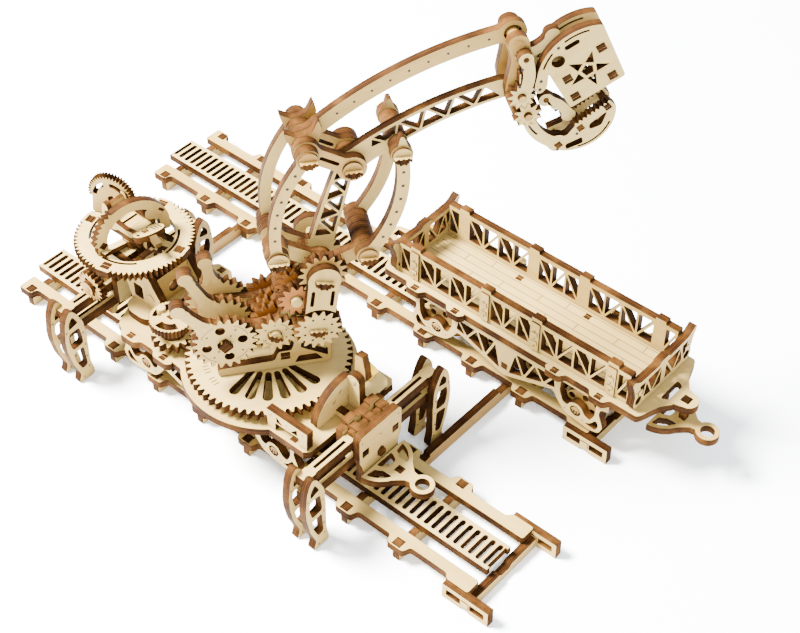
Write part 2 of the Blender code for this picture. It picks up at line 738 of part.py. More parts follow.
# Cabin
def build_cabin():
    """Pedestal, ring gear with the seat and two toothed arcs, and the pinion below the ring."""
    base = DECK_TOP + GAP
    ring_bottom = RING_TOP - PLY
    foot = moved(CAR_X, 0, base + PLY / 2)
    foot_outline = both_sides([(4.0, -16.5), (8.0, -13.0), (8.0, 13.0), (4.0, 16.5)])
    foot_place = foot @ moved(-37.8, 0, 0)
    column = [(-45.6, base + 2.0), (-30.2, base + 2.0), (-30.2, base + 9.0), (-33.0, base + 13.0)]
    column += [(-36.0, ring_bottom - GAP), (-57.0, ring_bottom - GAP), (-57.0, ring_bottom - 4.2)]
    column += [(-51.0, ring_bottom - 4.4), (-48.5, base + 12.0)]
    window = [(-44.0, base + 5.0), (-39.5, base + 5.0), (-39.5, base + 11.0), (-44.0, base + 11.0)]
    pieces = [plate(foot_outline, (), foot_place)]
    for y in (-9.0, 9.0):
        pieces.append(plate(column, [window], moved(CAR_X, y, 0) @ FACING_NEAR))
    cross = box_outline(-8.6, base + 2.0, 8.6, ring_bottom - 3.0)
    pieces.append(plate(cross, (), across_at(CAR_X - 36.0, 0)))
    bridge = moved(CAR_X - 53.3, 0, ring_bottom - 2 * GAP - PLY / 2)
    pieces.append(plate(both_sides([(3.6, -9.6), (3.6, 9.6)]), (), bridge))
    pieces.append(rod((CABIN_X, 0), 2.6, ring_bottom - 2.0, RING_TOP - 0.4, FLAT, CAP_SIDES))
    fuse("pedestal", pieces, "birch_face")

    ring_place = moved(CABIN_X, 0, RING_TOP - PLY / 2)
    opening = disc((0, 0), RING_INNER, 12)
    ring = plate(gear_outline(RING_TEETH, MODULE), [opening], ring_place)
    spokes = []
    for angle in (20, 140, 260):
        bar = turned(box_outline(2.9, -1.8, RING_INNER + 1.2, 1.8), angle)
        spokes.append(plate(bar, (), ring_place))
    hub = plate(disc((0, 0), 4.6, CAP_SIDES), [disc((0, 0), 3.1, CAP_SIDES)], ring_place)
    tenons = []
    for angle in (15, 105, 195, 285):
        square = turned(box_outline(17.0, -1.5, 19.6, 1.5), angle)
        tenons.append(plate(square, (), moved(CABIN_X, 0, RING_TOP + 0.2), 1.2))
    fuse("ring_gear", [ring, hub] + spokes + tenons, "birch_pale")

    seat_z = RING_TOP + GAP
    turn = Matrix.Rotation(math.radians(-38.0), 4, "Z")
    cradle = moved(CABIN_X, 0, seat_z) @ turn
    rack = []
    for index in range(19):
        angle = math.radians(36 + index * 6)
        radius = 16.5 if index % 2 == 0 else 18.3
        rack.append((radius * math.cos(angle), radius * math.sin(angle)))
    toothed = [(17.2, 0)] + rack + [(-17.2, 0), (-12.6, 0)] + arc((0, 0), 12.6, 160, 20, 5) + [(12.6, 0)]
    pieces = [plate(toothed, (), cradle @ moved(0, -6.0, 0) @ FACING_NEAR)]
    pieces.append(plate(toothed, (), cradle @ moved(0, 6.0, 0) @ FACING_NEAR))
    pieces.append(block(-14.6, 0.4, -12.8, 6.0, -6.4, 6.4, cradle @ FACING_NEAR))
    pieces.append(block(12.8, 0.4, 14.6, 6.0, -6.4, 6.4, cradle @ FACING_NEAR))
    pieces.append(plate(box_outline(-13.4, -3.4, 13.4, 3.4), (), cradle @ moved(0, 0, 2.0), 2.4))
    seat = both_sides([(2.6, -5.8), (4.6, -3.0), (4.6, 3.0), (2.6, 5.8)])
    pieces.append(plate(seat, (), cradle @ moved(0, -1.0, 5.0)))
    pieces.append(block(-2.4, 2.6, 2.4, 4.4, -2.0, 4.0, cradle @ FACING_NEAR))
    backrest = both_sides([(3.6, 4.0), (4.2, 9.0), (2.6, 11.8)])
    pieces.append(plate(backrest, (), cradle @ moved(0, 3.6, 0) @ FACING_NEAR))
    fuse("seat_cradle", pieces, "birch_face")

    pinion_r = pitch_radius(CABIN_PINION_TEETH) + MODULE
    height = ring_bottom - GAP - pinion_r
    place = moved(CABIN_X, 0, height) @ FACING_NEAR
    gear_y = pitch_radius(RING_TEETH) + 0.4
    teeth = plate(gear_outline(CABIN_PINION_TEETH, MODULE), (), place @ moved(0, 0, gear_y))
    shaft = rod((0, 0), AXLE_R, 6.0, gear_y + 3.4, place)
    pieces = [shaft, teeth, rod((0, 0), 2.9, gear_y + 1.4, gear_y + 3.0, place)]
    fuse("cabin_pinion", pieces, "birch_warm")


# Turret
def build_turret():
    """Slewing gear, the two frames that stand on it, and the hand wheel with its pinion."""
    place = moved(SLEW_X, 0, SLEW_TOP - PLY / 2)
    slots = []
    for index in range(8):
        angle = ARM_HEADING - 90 - 70 + index * 20
        slots.append(turned([(9.8, -0.5), (24.6, -1.4), (24.6, 1.4), (9.8, 0.5)], angle))
    gear = plate(gear_outline(SLEW_TEETH, MODULE), slots, place)
    hub = rod((0, 0), 9.0, DECK_TOP + GAP, SLEW_TOP - PLY + SINK, moved(SLEW_X, 0, 0), SPOOL_SIDES)
    pivot = rod((0, 0), 3.0, DECK_TOP - PLY - 1.0, DECK_TOP + 1.0, moved(SLEW_X, 0, 0), CAP_SIDES)
    fuse("slewing_gear", [gear, hub, pivot], "birch_pale")
    turret_frame("frame_near", 1)
    turret_frame("frame_far", -1)

    distance = pitch_radius(SLEW_TEETH) + pitch_radius(HAND_TEETH) + 0.1
    angle = math.radians(HAND_ANGLE)
    centre = (distance * math.cos(angle), distance * math.sin(angle))
    phase = meshing_phase((0, 0), SLEW_TEETH, 0.0, centre, HAND_TEETH)
    hand = moved(SLEW_X + centre[0], centre[1], 0)
    grips = []
    for index in range(24):
        radius = HAND_WHEEL_R - 0.6 * (index % 2)
        turn = math.radians(index * 15)
        grips.append((radius * math.cos(turn), radius * math.sin(turn)))
    crescents = []
    for start in (10, 130, 250):
        crescents.append(arc((0, 0), 3.8, start, start + 80, 2) + arc((0, 0), 6.0, start + 80, start, 2))
    pinion = plate(gear_outline(HAND_TEETH, MODULE, phase), (), hand @ moved(0, 0, SLEW_TOP - PLY / 2))
    spindle = rod((0, 0), 2.6, DECK_TOP + GAP, HAND_WHEEL_Z + 1.0, hand)
    spool = rod((0, 0), 4.6, SLEW_TOP - SINK, HAND_WHEEL_Z - PLY / 2 - 1.2, hand, 12)
    wheel = plate(grips, crescents, hand @ moved(0, 0, HAND_WHEEL_Z))
    knob = rod((-4.9, 0), 1.6, HAND_WHEEL_Z, HAND_WHEEL_Z + PLY / 2 + 1.4, hand)
    fuse("slew_hand_wheel", [pinion, spindle, spool, wheel, knob], "birch_face")


def gear_axes():
    """Centres of the gears in one train, from lever to shoulder."""
    mid_to_lever = pitch_radius(LEVER_TEETH) + pitch_radius(MID_TEETH) + 0.05
    mid_to_dotted = pitch_radius(MID_TEETH) + pitch_radius(DOTTED_TEETH) + 0.05
    mid = touching_centre(LEVER_AXIS, mid_to_lever, DOTTED_AXIS, mid_to_dotted, -1)
    idler_to_dotted = pitch_radius(IDLER_TEETH) + pitch_radius(DOTTED_TEETH) + 0.05
    idler_to_top = pitch_radius(IDLER_TEETH) + pitch_radius(TOP_TEETH) + 0.05
    idler = touching_centre(DOTTED_AXIS, idler_to_dotted, SHOULDER, idler_to_top, 1)
    return mid, idler


def turret_frame(name, side):
    """One side of the turret: truss plate, gear axles, post and the bracket of the rear link."""
    mid, idler = gear_axes()
    bottom = SLEW_TOP + GAP
    outline = [
        (-18.6, bottom), (20.8, bottom), (20.8, 47.0), (20.2, 57.6), (17.6, 62.0), (13.8, 66.0),
        (13.4, 71.0), (9.8, 73.0), (6.4, 71.2), (5.4, 66.4), (3.0, 58.6), (-4.0, 57.6), (-12.0, 58.4),
        (-17.0, 58.6), (-20.0, 55.6), (-19.6, 51.0), (-15.8, 49.0), (-6.0, 46.4), (-3.0, 43.4),
        (-3.0, 38.8), (-18.6, 38.8),
    ]
    windows = [
        [(6.8, 37.4), (18.6, 37.4), (15.4, 40.8), (8.6, 40.8)],
        [(11.2, 42.4), (15.8, 42.4), (18.8, 39.4), (18.8, 45.6)],
    ]
    place = ARM_PLANE @ moved(0, 0, side * layer(2))
    pieces = [plate(outline, windows, place)]

    def axle(centre, low, high, radius=PIN_R, sides=ROUND_SIDES):
        span = sorted((side * low, side * high))
        pieces.append(rod(centre, radius, span[0], span[1], ARM_PLANE, sides))

    inner_end = -face(0, 1) if side > 0 else face(2, -1) + SINK
    cap_low, cap_high = face(3, 1) + GAP, face(3, 1) + GAP + CAP_T
    for centre in (LEVER_AXIS, mid):
        axle(centre, inner_end, cap_high - SINK)
        axle(centre, cap_low, cap_high, CAP_R, CAP_SIDES)
    if side > 0:
        axle(idler, inner_end, cap_high - SINK)
        axle(idler, cap_low, cap_high, CAP_R, CAP_SIDES)
    post_low, post_high = face(4, -1), face(4, 1)
    axle(DOTTED_AXIS, inner_end, post_low + SINK)
    axle(SHOULDER, -face(0, 1) if side > 0 else face(1, -1) + SINK, post_low + SINK)
    post = link_outline(DOTTED_AXIS, SHOULDER, 0, 9.4, 5.6, 6.0, 1, 4)
    lean = math.degrees(math.atan2((SHOULDER - DOTTED_AXIS).y, (SHOULDER - DOTTED_AXIS).x))
    slits = []
    for across in (-3.1, 3.1):
        offset = Vector((-math.sin(math.radians(lean)), math.cos(math.radians(lean)))) * across
        slits.append(slanted_box((DOTTED_AXIS + SHOULDER) / 2 + offset, 8.0, 1.0, lean))
    pieces.append(plate(post, slits, ARM_PLANE @ moved(0, 0, side * layer(4))))
    for centre in (DOTTED_AXIS, SHOULDER):
        axle(centre, post_high - SINK, post_high + 1.2, CAP_R, CAP_SIDES)

    bracket = link_outline(SHOULDER, REAR_PIVOT, 0, 5.4, 4.4, 4.0, 1, 4)
    pieces.append(plate(bracket, (), ARM_PLANE @ moved(0, 0, side * layer(1))))
    axle(REAR_PIVOT, face(1, 1) - SINK, face(2, 1), 4.2, SPOOL_SIDES)
    axle(REAR_PIVOT, face(2, 1) - SINK, cap_high - SINK)
    axle(REAR_PIVOT, cap_low, cap_high, CAP_R + 0.4, CAP_SIDES)
    fuse(name, pieces, "birch_face")


def train_gears():
    """The loose gears on the turret's axles."""
    mid, idler = gear_axes()
    top_phases = {}
    for number, depth, angle in zip((1, 2, 3), (3, 0, -3), LEVER_ANGLES):
        level = layer(depth)
        lever_phase = angle
        outline = gear_outline(LEVER_TEETH, MODULE, lever_phase)
        place = arm_at(LEVER_AXIS) @ moved(0, 0, level)
        holes = [disc((0, 0), HOLE_R)]
        if depth == 3:
            holes += [disc((6.2 * math.cos(t), 6.2 * math.sin(t)), 1.6, 6) for t in (0.2, 1.77, 3.34, 4.91)]
        lever = plate(outline, holes, place)
        root_r = MODULE * (LEVER_TEETH / 2 - DEDENDUM)
        start = (root_r * 0.75, 0)
        handle = turned(handle_outline(start[0], LEVER_LENGTH), angle)
        fuse("lever_%d" % number, [lever, plate(handle, (), place)], "birch_face")

        mid_phase = meshing_phase(LEVER_AXIS, LEVER_TEETH, lever_phase, mid, MID_TEETH)
        gear_node("mid_gear_%d" % number, MID_TEETH, mid_phase, mid, level)
        if depth < 0:
            continue
        dotted_phase = meshing_phase(mid, MID_TEETH, mid_phase, DOTTED_AXIS, DOTTED_TEETH)
        gear_node("dotted_gear_%d" % number, DOTTED_TEETH, dotted_phase, DOTTED_AXIS, level)
        idler_phase = meshing_phase(DOTTED_AXIS, DOTTED_TEETH, dotted_phase, idler, IDLER_TEETH)
        gear_node("idler_gear_%d" % number, IDLER_TEETH, idler_phase, idler, level)
        top_phases[depth] = meshing_phase(idler, IDLER_TEETH, idler_phase, SHOULDER, TOP_TEETH)
    return top_phases


def handle_outline(start, length):
    """A waisted handle with a round end, along +X from inside its gear."""
    lower = [(start, -4.2), (start + 5.5, -2.9), (length * 0.62, -2.2), (length - 4.6, -2.7)]
    end = arc((length - 2.0, 0), 3.6, -120, 120, 6)
    return lower + end + [(x, -y) for x, y in reversed(lower)]


def gear_node(name, teeth, phase, centre, level):
    """A loose gear with a running hole."""
    place = arm_at(centre) @ moved(0, 0, level)
    fuse(name, [plate(gear_outline(teeth, MODULE, phase), [disc((0, 0), HOLE_R)], place)], "birch_warm")


# Arm
def build_arm(top_phases):
    """Main arm, crank, links, rocker, boom and rod, each with its origin on its own pivot."""
    here = arm_at(SHOULDER)
    gear = gear_outline(TOP_TEETH, MODULE, top_phases[0])
    along = math.degrees(math.atan2(LINK_VECTOR.y, LINK_VECTOR.x))
    length = LINK_VECTOR.length
    blade = main_arm_outline(length)
    knots = [
        (9.0, -2.3), (13.0, 2.9), (17.0, -2.3), (21.0, 2.7),
        (25.0, -2.1), (29.0, 2.3), (33.0, -1.8), (36.0, 1.6),
    ]
    windows = []
    for first, second, third in zip(knots, knots[1:], knots[2:]):
        window = inset_triangle((first, second, third), 0.55)
        if window:
            windows.append(turned(window, along))
    pieces = [
        plate(gear, [disc((0, 0), HOLE_R)], here),
        plate(turned(blade, along), windows + [disc(tuple(LINK_VECTOR), HOLE_R)], here),
    ]
    fuse("main_arm", pieces, "birch_face")

    gear = gear_outline(TOP_TEETH, MODULE, top_phases[3])
    crank = link_outline((0, 0), CRANK_VECTOR, 0, 5.4, 5.0, 4.2, 1, 4)
    pieces = [
        plate(gear, [disc((0, 0), HOLE_R)], here @ moved(0, 0, layer(3))),
        plate(crank, [disc((0, 0), HOLE_R), disc(tuple(CRANK_VECTOR), HOLE_R)], here @ moved(0, 0, layer(2))),
        plate(disc((0, 0), 4.6, SPOOL_SIDES), [disc((0, 0), HOLE_R)], here @ moved(0, 0, layer(2.5)), LAYER),
    ]
    fuse("crank_boom", pieces, "birch_warm")

    place = arm_at(CRANK_PIN)
    reach = face(3, 1) + GAP
    pieces = [rod((0, 0), PIN_R, -reach - SINK, reach + SINK, place)]
    for low, high in ((reach, reach + CAP_T), (-reach - CAP_T, -reach)):
        pieces.append(rod((0, 0), CAP_R, low, high, place, CAP_SIDES))
    pieces.append(rod((0, 0), 4.0, -face(2, 1), face(1, 1), place, SPOOL_SIDES))
    fuse("crank_pin", pieces, "birch_warm")

    curved_link("front_link", CRANK_PIN, LINK_VECTOR, -4.6, 7.0)
    curved_link("rear_link", REAR_PIVOT, LINK_VECTOR, 4.6, 6.4)
    build_rocker()
    build_boom()


def main_arm_outline(length):
    """The tapering blade of the main arm along +X."""
    low = [(3.0, -4.2), (8.0, -4.0), (22.0, -3.6), (length - 4.6, -3.2)]
    eye = arc((length, 0), 4.2, -130, 130, 6)
    high = [(length - 4.6, 3.2), (30.0, 3.8), (22.0, 4.4), (12.0, 4.6), (3.0, 4.4)]
    return low + eye + high


def curved_link(name, pivot, vector, sagitta, width):
    """Two bowed plates tied by a cross bar; the bow's sign gives its side."""
    place = arm_at(pivot)
    outline = link_outline((0, 0), vector, sagitta, width - 1.6, 4.4, 4.0, 4, 4)
    holes = [disc((0, 0), HOLE_R), disc(tuple(vector), HOLE_R + 0.15)]
    pieces = [plate(outline, holes, place @ moved(0, 0, layer(side * 3))) for side in (1, -1)]
    middle, direction = bow_point((0, 0), vector, sagitta, 0.5)
    lean = math.degrees(math.atan2(direction.y, direction.x))
    bar = slanted_box(middle, 5.0, 2.6, lean)
    pieces.append(plate(bar, (), place, 2 * face(3, -1) + 2 * SINK))
    fuse(name, pieces, "birch_face")


def build_rocker():
    """The elbow rocker: two plates on the elbow and rear elbow pins, with the claw bumper."""
    place = arm_at(ELBOW)
    rear = REAR_ELBOW - ELBOW
    outline = link_outline((0, 0), rear, 0, 6.0, 4.8, 4.4, 1, 4)
    lean = math.degrees(math.atan2(rear.y, rear.x))
    slit = slanted_box(rear / 2, 6.6, 1.2, lean)
    claw = arc(rear, 4.3, 200, 350, 3) + [
        (rear.x + 4.4, rear.y + 5.0), (rear.x + 7.0, rear.y + 12.0), (rear.x + 2.2, rear.y + 9.0),
        (rear.x - 3.0, rear.y + 10.4), (rear.x - 7.4, rear.y + 9.6), (rear.x - 4.4, rear.y + 5.4),
    ]
    pieces = [
        plate(outline, [slit], place @ moved(0, 0, layer(2))),
        plate(outline, [slit], place @ moved(0, 0, layer(-1))),
        rod((0, 0), PIN_R, face(-1, -1) + SINK, face(2, 1) + CAP_T - SINK, place),
        rod((0, 0), CAP_R, face(2, 1) - SINK, face(2, 1) + CAP_T, place, CAP_SIDES),
        rod(rear, PIN_R, -face(3, 1) - GAP - SINK, face(3, 1) + GAP + SINK, place),
        rod(rear, CAP_R, face(3, 1) + GAP, face(3, 1) + GAP + CAP_T, place, CAP_SIDES),
        rod(rear, CAP_R, -face(3, 1) - GAP - CAP_T, -face(3, 1) - GAP, place, CAP_SIDES),
        plate(claw, (), place @ moved(0, 0, layer(1.5)), 2 * PLY),
    ]
    fuse("rocker", pieces, "birch_warm")


def build_boom():
    """The long truss boom, the dotted rod above it, and the wrist link they carry."""
    place = arm_at(ELBOW)
    tail = BOOM_TAIL - ELBOW
    wrist = WRIST - ELBOW
    bow = 3.4
    knots = []
    upper, lower = [], []
    steps = 9
    for index in range(steps + 1):
        share = 0.05 + 0.87 * index / steps
        point, direction = bow_point((0, 0), wrist, bow, share)
        side = Vector((-direction.y, direction.x))
        half = 4.4 - 0.9 * share
        upper.append(tuple(point + side * half))
        lower.append(tuple(point - side * half))
        rim = 1.5
        inner = half - rim
        knots.append(tuple(point + side * inner * (1 if index % 2 else -1)))
    heading = math.degrees(math.atan2(wrist.y, wrist.x))
    eye = arc(wrist, 4.0, heading - 120, heading + 120, 6)
    root = arc((0, 0), 5.2, heading + 120, heading + 230, 4)
    outline = lower + eye + upper[::-1] + root
    windows = []
    for first, second, third in zip(knots[1:], knots[2:], knots[3:]):
        window = inset_triangle((first, second, third), 0.6)
        if window:
            windows.append(window)
    holes = windows + [disc((0, 0), HOLE_R), disc(tuple(wrist), HOLE_R)]
    reach = face(3, 1) + GAP
    pieces = [
        plate(outline, holes, place @ moved(0, 0, layer(1))),
        rod(tail, PIN_R, -reach - SINK, reach + SINK, place),
        rod(tail, CAP_R, reach, reach + CAP_T, place, CAP_SIDES),
        rod(tail, CAP_R, -reach - CAP_T, -reach, place, CAP_SIDES),
        rod(tail, 3.6, -face(2, 1), face(2, 1), place, SPOOL_SIDES),
    ]
    fuse("boom", pieces, "birch_face")

    place = arm_at(REAR_ELBOW)
    end = ROD_END - REAR_ELBOW
    outline = link_outline((0, 0), end, 5.2, 5.4, 4.2, 4.6, 6, 4)
    eyes = [disc((0, 0), HOLE_R), disc(tuple(end), HOLE_R + ROD_PLAY)]
    fuse("upper_rod", [plate(outline, eyes, place)], "birch_face")


# Grab head
def wrist_gear_centre():
    """Centre of the lower jaw's gear, in mesh with the wrist gear."""
    distance = pitch_radius(JAW_TEETH, JAW_MODULE) * 2 + 0.05
    angle = math.radians(WRIST_GEAR_LEAN)
    return WRIST + Vector((math.cos(angle), math.sin(angle))) * distance


def build_head():
    """The wrist link held level by the rod, and the two jaws geared together on it."""
    place = arm_at(WRIST)
    lower_axis = wrist_gear_centre() - WRIST
    rod_end = ROD_END - WRIST
    outline = [
        (rod_end.x - 3.4, rod_end.y), (rod_end.x - 2.0, rod_end.y - 5.0), (-4.6, 1.0), (-3.6, -4.0),
        (lower_axis.x - 3.8, lower_axis.y - 2.0), (lower_axis.x, lower_axis.y - 4.0),
        (lower_axis.x + 3.4, lower_axis.y - 2.0), (5.0, -2.0), (4.4, 3.0), (rod_end.x + 4.4, rod_end.y - 4.0),
    ] + arc(rod_end, 3.6, 0, 150, 4)
    reach = face(3, 1) + GAP
    pieces = [
        plate(outline, (), place @ moved(0, 0, layer(2))),
        plate(outline, (), place @ moved(0, 0, layer(-1))),
        rod((0, 0), PIN_R, -reach - SINK, reach + SINK, place),
        rod((0, 0), CAP_R - 0.6, reach, reach + CAP_T, place, CAP_SIDES),
        rod((0, 0), CAP_R - 0.6, -reach - CAP_T, -reach, place, CAP_SIDES),
        rod(lower_axis, PIN_R - 0.4, -reach - SINK, reach + SINK, place),
        rod(lower_axis, CAP_R - 0.6, reach, reach + CAP_T, place, CAP_SIDES),
        rod(lower_axis, CAP_R - 0.6, -reach - CAP_T, -reach, place, CAP_SIDES),
        rod(rod_end, PIN_R, face(-1, -1) + SINK, face(2, 1) - SINK, place),
    ]
    fuse("wrist_link", pieces, "birch_warm")
    upper_jaw(place)
    lower_jaw(arm_at(wrist_gear_centre()), lower_axis)


def cross_bar(centre, width, angle, place):
    """A square bar between the two outer layers; its tenon stands out of the near one."""
    low, high = face(-3, 1) - SINK, face(3, 1) + 0.6
    square = slanted_box(centre, width, width, angle)
    return plate(square, (), place @ moved(0, 0, (low + high) / 2), high - low)


def star_outline(centre, radius, turn):
    """A small five-pointed star."""
    points = []
    for index in range(10):
        angle = math.radians(turn + index * 36)
        reach = radius if index % 2 == 0 else radius * 0.42
        points.append((centre[0] + reach * math.cos(angle), centre[1] + reach * math.sin(angle)))
    return points


def upper_jaw(place):
    """Gear, link and the pierced cheek plates joined by five square bars."""
    gear = gear_outline(JAW_TEETH, JAW_MODULE, WRIST_GEAR_LEAN)
    link = link_outline((0, 0), (0.6, 13.6), -1.6, 4.4, 3.0, 3.2, 3, 5)
    cheek = [(6.2, 1.6), (9.6, 0.8), (11.6, 4.6), (16.8, -5.2), (33.0, 3.6), (22.4, 23.6)]
    cheek += arc((23.4, 5.0), 18.0, 96, 176, 4)
    bars = ((15.0, 0.6), (30.0, 4.6), (24.6, 17.4), (18.6, 8.2), (10.0, 9.6))
    star = star_outline((22.6, 8.6), 5.2, 20)
    gear_hole = [disc((0, 0), HOLE_R - 0.1)]
    pieces = [
        plate(gear, gear_hole, place @ moved(0, 0, layer(3))),
        plate(link, gear_hole, place @ moved(0, 0, layer(3))),
        plate(cheek, [star, disc((11.2, 13.4), 1.8)], place @ moved(0, 0, layer(3))),
        plate(cheek, [star, disc((11.2, 13.4), 1.8)], place @ moved(0, 0, layer(-3))),
        plate([(0.4, 12.2), (9.4, 15.4), (10.6, 18.6), (0.0, 16.2)], (), place @ moved(0, 0, layer(3))),
    ]
    for centre in bars:
        pieces.append(cross_bar(centre, 2.6, 28, place))
    fuse("upper_jaw", pieces, "birch_pale")


def lower_jaw(place, axis):
    """Gear, bowed arm and the toothed jaw, its plates joined by bars."""
    phase = meshing_phase((0, 0), JAW_TEETH, WRIST_GEAR_LEAN, tuple(axis), JAW_TEETH)
    gear = gear_outline(JAW_TEETH, JAW_MODULE, phase)
    arm = link_outline((0, 0), (10.4, -12.6), -2.2, 4.2, 3.0, 3.2, 4, 5)
    teeth = []
    start, end = Vector((15.6, -6.6)), Vector((27.0, 1.6))
    for index in range(6):
        root = start + (end - start) * index / 6
        tip = start + (end - start) * (index + 0.5) / 6 + Vector((-0.5, 0.75))
        teeth += [tuple(root), tuple(tip)]
    jaw = teeth + [(28.6, -0.6)] + arc((15.2, -2.6), 13.6, 0, -108, 5) + [(8.8, -11.4), (13.4, -9.6)]
    windows = [
        [(20.2, -6.6), (25.4, -2.6), (26.4, -5.6), (22.6, -9.6)],
        [(13.2, -13.4), (18.6, -11.4), (17.6, -13.8), (13.8, -14.6)],
    ]
    gear_hole = [disc((0, 0), HOLE_R - 0.5)]
    pieces = [
        plate(gear, gear_hole, place @ moved(0, 0, layer(3))),
        plate(arm, gear_hole, place @ moved(0, 0, layer(3))),
        plate(jaw, windows, place @ moved(0, 0, layer(3))),
        plate(jaw, windows, place @ moved(0, 0, layer(-3))),
    ]
    for centre in ((17.6, -7.6), (25.8, -0.6), (10.8, -13.4)):
        pieces.append(cross_bar(centre, 2.4, 35, place))
    fuse("lower_jaw", pieces, "birch_pale")


# Wagon
def build_wagon():
    """Base, panels, side frames, coupler and wheel sets of the goods wagon."""
    y = TRACK_SPACING
    place = moved(WAGON_X, y, DECK_TOP - PLY / 2)
    lip = WAGON_HALF_WIDTH + 2.4
    half_right = []
    for ear in WAGON_EARS:
        half_right += [
            (ear - 4.4, -WAGON_HALF_WIDTH), (ear - 2.8, -lip), (ear + 2.8, -lip), (ear + 4.4, -WAGON_HALF_WIDTH),
        ]
    tip = [(WAGON_HALF_LENGTH - 1.0, -WAGON_HALF_WIDTH), (WAGON_HALF_LENGTH, -WAGON_HALF_WIDTH + 1.4)]
    tip += [(WAGON_HALF_LENGTH + 2.6, -9.0), (WAGON_HALF_LENGTH + 5.8, -4.6)]
    tip += arc((WAGON_HALF_LENGTH + 8.0, 0), 4.0, -60, 0, 2)
    half_right += tip
    half = [(-x, py) for x, py in reversed(half_right)] + half_right
    outline = half + [(x, -py) for x, py in reversed(half[1:-1])]
    holes = []
    for side in (-1, 1):
        middle = side * WAGON_PIN_X
        holes.append(box_outline(middle - 1.7, -1.7, middle + 1.7, 1.7))
    fuse("wagon_base", [plate(outline, holes, place)], "birch_pale")

    for side, name in ((-1, "wagon_side_near"), (1, "wagon_side_far")):
        side_panel(name, y + side * PANEL_Y)
        middle = WAGON_FRAME_OUTER - PLY / 2
        frame_name = "wagon_frame_near" if side < 0 else "wagon_frame_far"
        bogie_frame(frame_name, WAGON_X, y + side * middle)
    end_panel("wagon_end_left", WAGON_X - END_PANEL_X, y)
    end_panel("wagon_end_right", WAGON_X + END_PANEL_X, y)
    wheel_set("wagon_wheels_left", WAGON_X - AXLE_OFFSET, y, WAGON_FRAME_OUTER)
    wheel_set("wagon_wheels_right", WAGON_X + AXLE_OFFSET, y, WAGON_FRAME_OUTER)

    body, hook_holes = coupler_outline()
    hook_top = DECK_TOP - PLY - 6.0
    hook = moved(WAGON_X + WAGON_PIN_X - HOOK_PIN_X, y, hook_top - PLY / 2)
    pin_high = DECK_TOP - hook_top + PLY / 2 + 0.6
    pin = block(HOOK_PIN_X - 1.25, -1.25, HOOK_PIN_X + 1.25, 1.25, -PLY / 2, pin_high, hook)
    body_plate = plate(body, hook_holes[:-1], hook)
    fuse("wagon_coupler", [body_plate, pin], "birch_face")


def side_panel(name, y):
    """A low truss wall with posts and small blocks along its top."""
    length = END_PANEL_X - PLY / 2 - GAP
    base = DECK_TOP + GAP
    top = []
    inner, outer = PANEL_POSTS
    for post in (outer, inner, -inner, -outer):
        top += [
            (post + 2.2, PANEL_TOP), (post + 2.2, PANEL_TOP + 1.2),
            (post - 2.2, PANEL_TOP + 1.2), (post - 2.2, PANEL_TOP),
        ]
    outline = [(-length, base), (length, base), (length, PANEL_TOP)] + top + [(-length, PANEL_TOP)]
    rim = 1.7
    low, high = base + rim, PANEL_TOP - rim
    holes = []
    clear = 2.6
    spans = (
        (clear - outer, -inner - clear, 6), (clear - inner, inner - clear, 4),
        (inner + clear, outer - clear, 6),
    )
    for left, right, bays in spans:
        knots = []
        for index in range(bays + 1):
            x = left + (right - left) * index / bays
            knots.append((x, high if index % 2 == 0 else low))
        ends = [(knots[0], (left, low), knots[1])] if bays else []
        triangles = ends + list(zip(knots, knots[1:], knots[2:])) + [(knots[-2], (right, low), knots[-1])]
        for first, second, third in triangles:
            window = inset_triangle((first, second, third), 0.5)
            if window:
                holes.append(window)
    place = moved(WAGON_X, y, 0) @ FACING_NEAR
    fuse(name, [plate(outline, holes, place)], "birch_face")


def end_panel(name, x, y):
    """An end wall with swept wings, round holes and a truss."""
    base = DECK_TOP + GAP
    half = [
        (WING_HALF - 7.1, base), (WING_HALF - 3.5, base), (WING_HALF - 1.9, base + 2.6),
        (WING_HALF - 2.5, base + 6.6), (WING_HALF - 1.5, base + 10.6), (WING_HALF, END_PANEL_TOP + 1.4),
        (WING_HALF - 1.0, END_PANEL_TOP + 2.8), (WING_HALF - 4.9, END_PANEL_TOP),
        (3.0, END_PANEL_TOP - 0.6), (2.4, END_PANEL_TOP + 0.6),
    ]
    holes = []
    for side in (-1, 1):
        holes.append(disc((side * (WING_HALF - 4.9), base + 3.6), 1.9))
        knots = [
            (0.9, base + 1.6), (0.9, base + 10.6), (6.4, base + 1.6),
            (10.6, base + 10.6), (12.0, base + 3.0),
        ]
        for first, second, third in zip(knots, knots[1:], knots[2:]):
            window = inset_triangle((first, second, third), 0.5)
            if window:
                holes.append([(side * px, pz) for px, pz in window])
    fuse(name, [plate(both_sides(half), holes, across_at(x, y))], "birch_face")


clear_scene()
MODEL = make_collection("wooden_mechanical_model_kit")
build_track("near", 0.0, 0.0)
build_track("far", TRACK_SPACING, FAR_TRACK_SHIFT)
build_ties()
build_car()
build_cabin()
build_turret()
build_arm(train_gears())
build_head()
build_wagon()
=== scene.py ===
# %% [markdown]
# # A wooden mechanical model kit
# A rail car with a slewing grab arm, a goods wagon and two lengths of track, all laser-cut from
# birch plywood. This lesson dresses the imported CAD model: every CAD part is already in its place,
# so each new piece is drawn in the same millimetres and simply rides on the same body.

import json
import math
import random

import bmesh
import bpy
from mathutils import Matrix, Vector

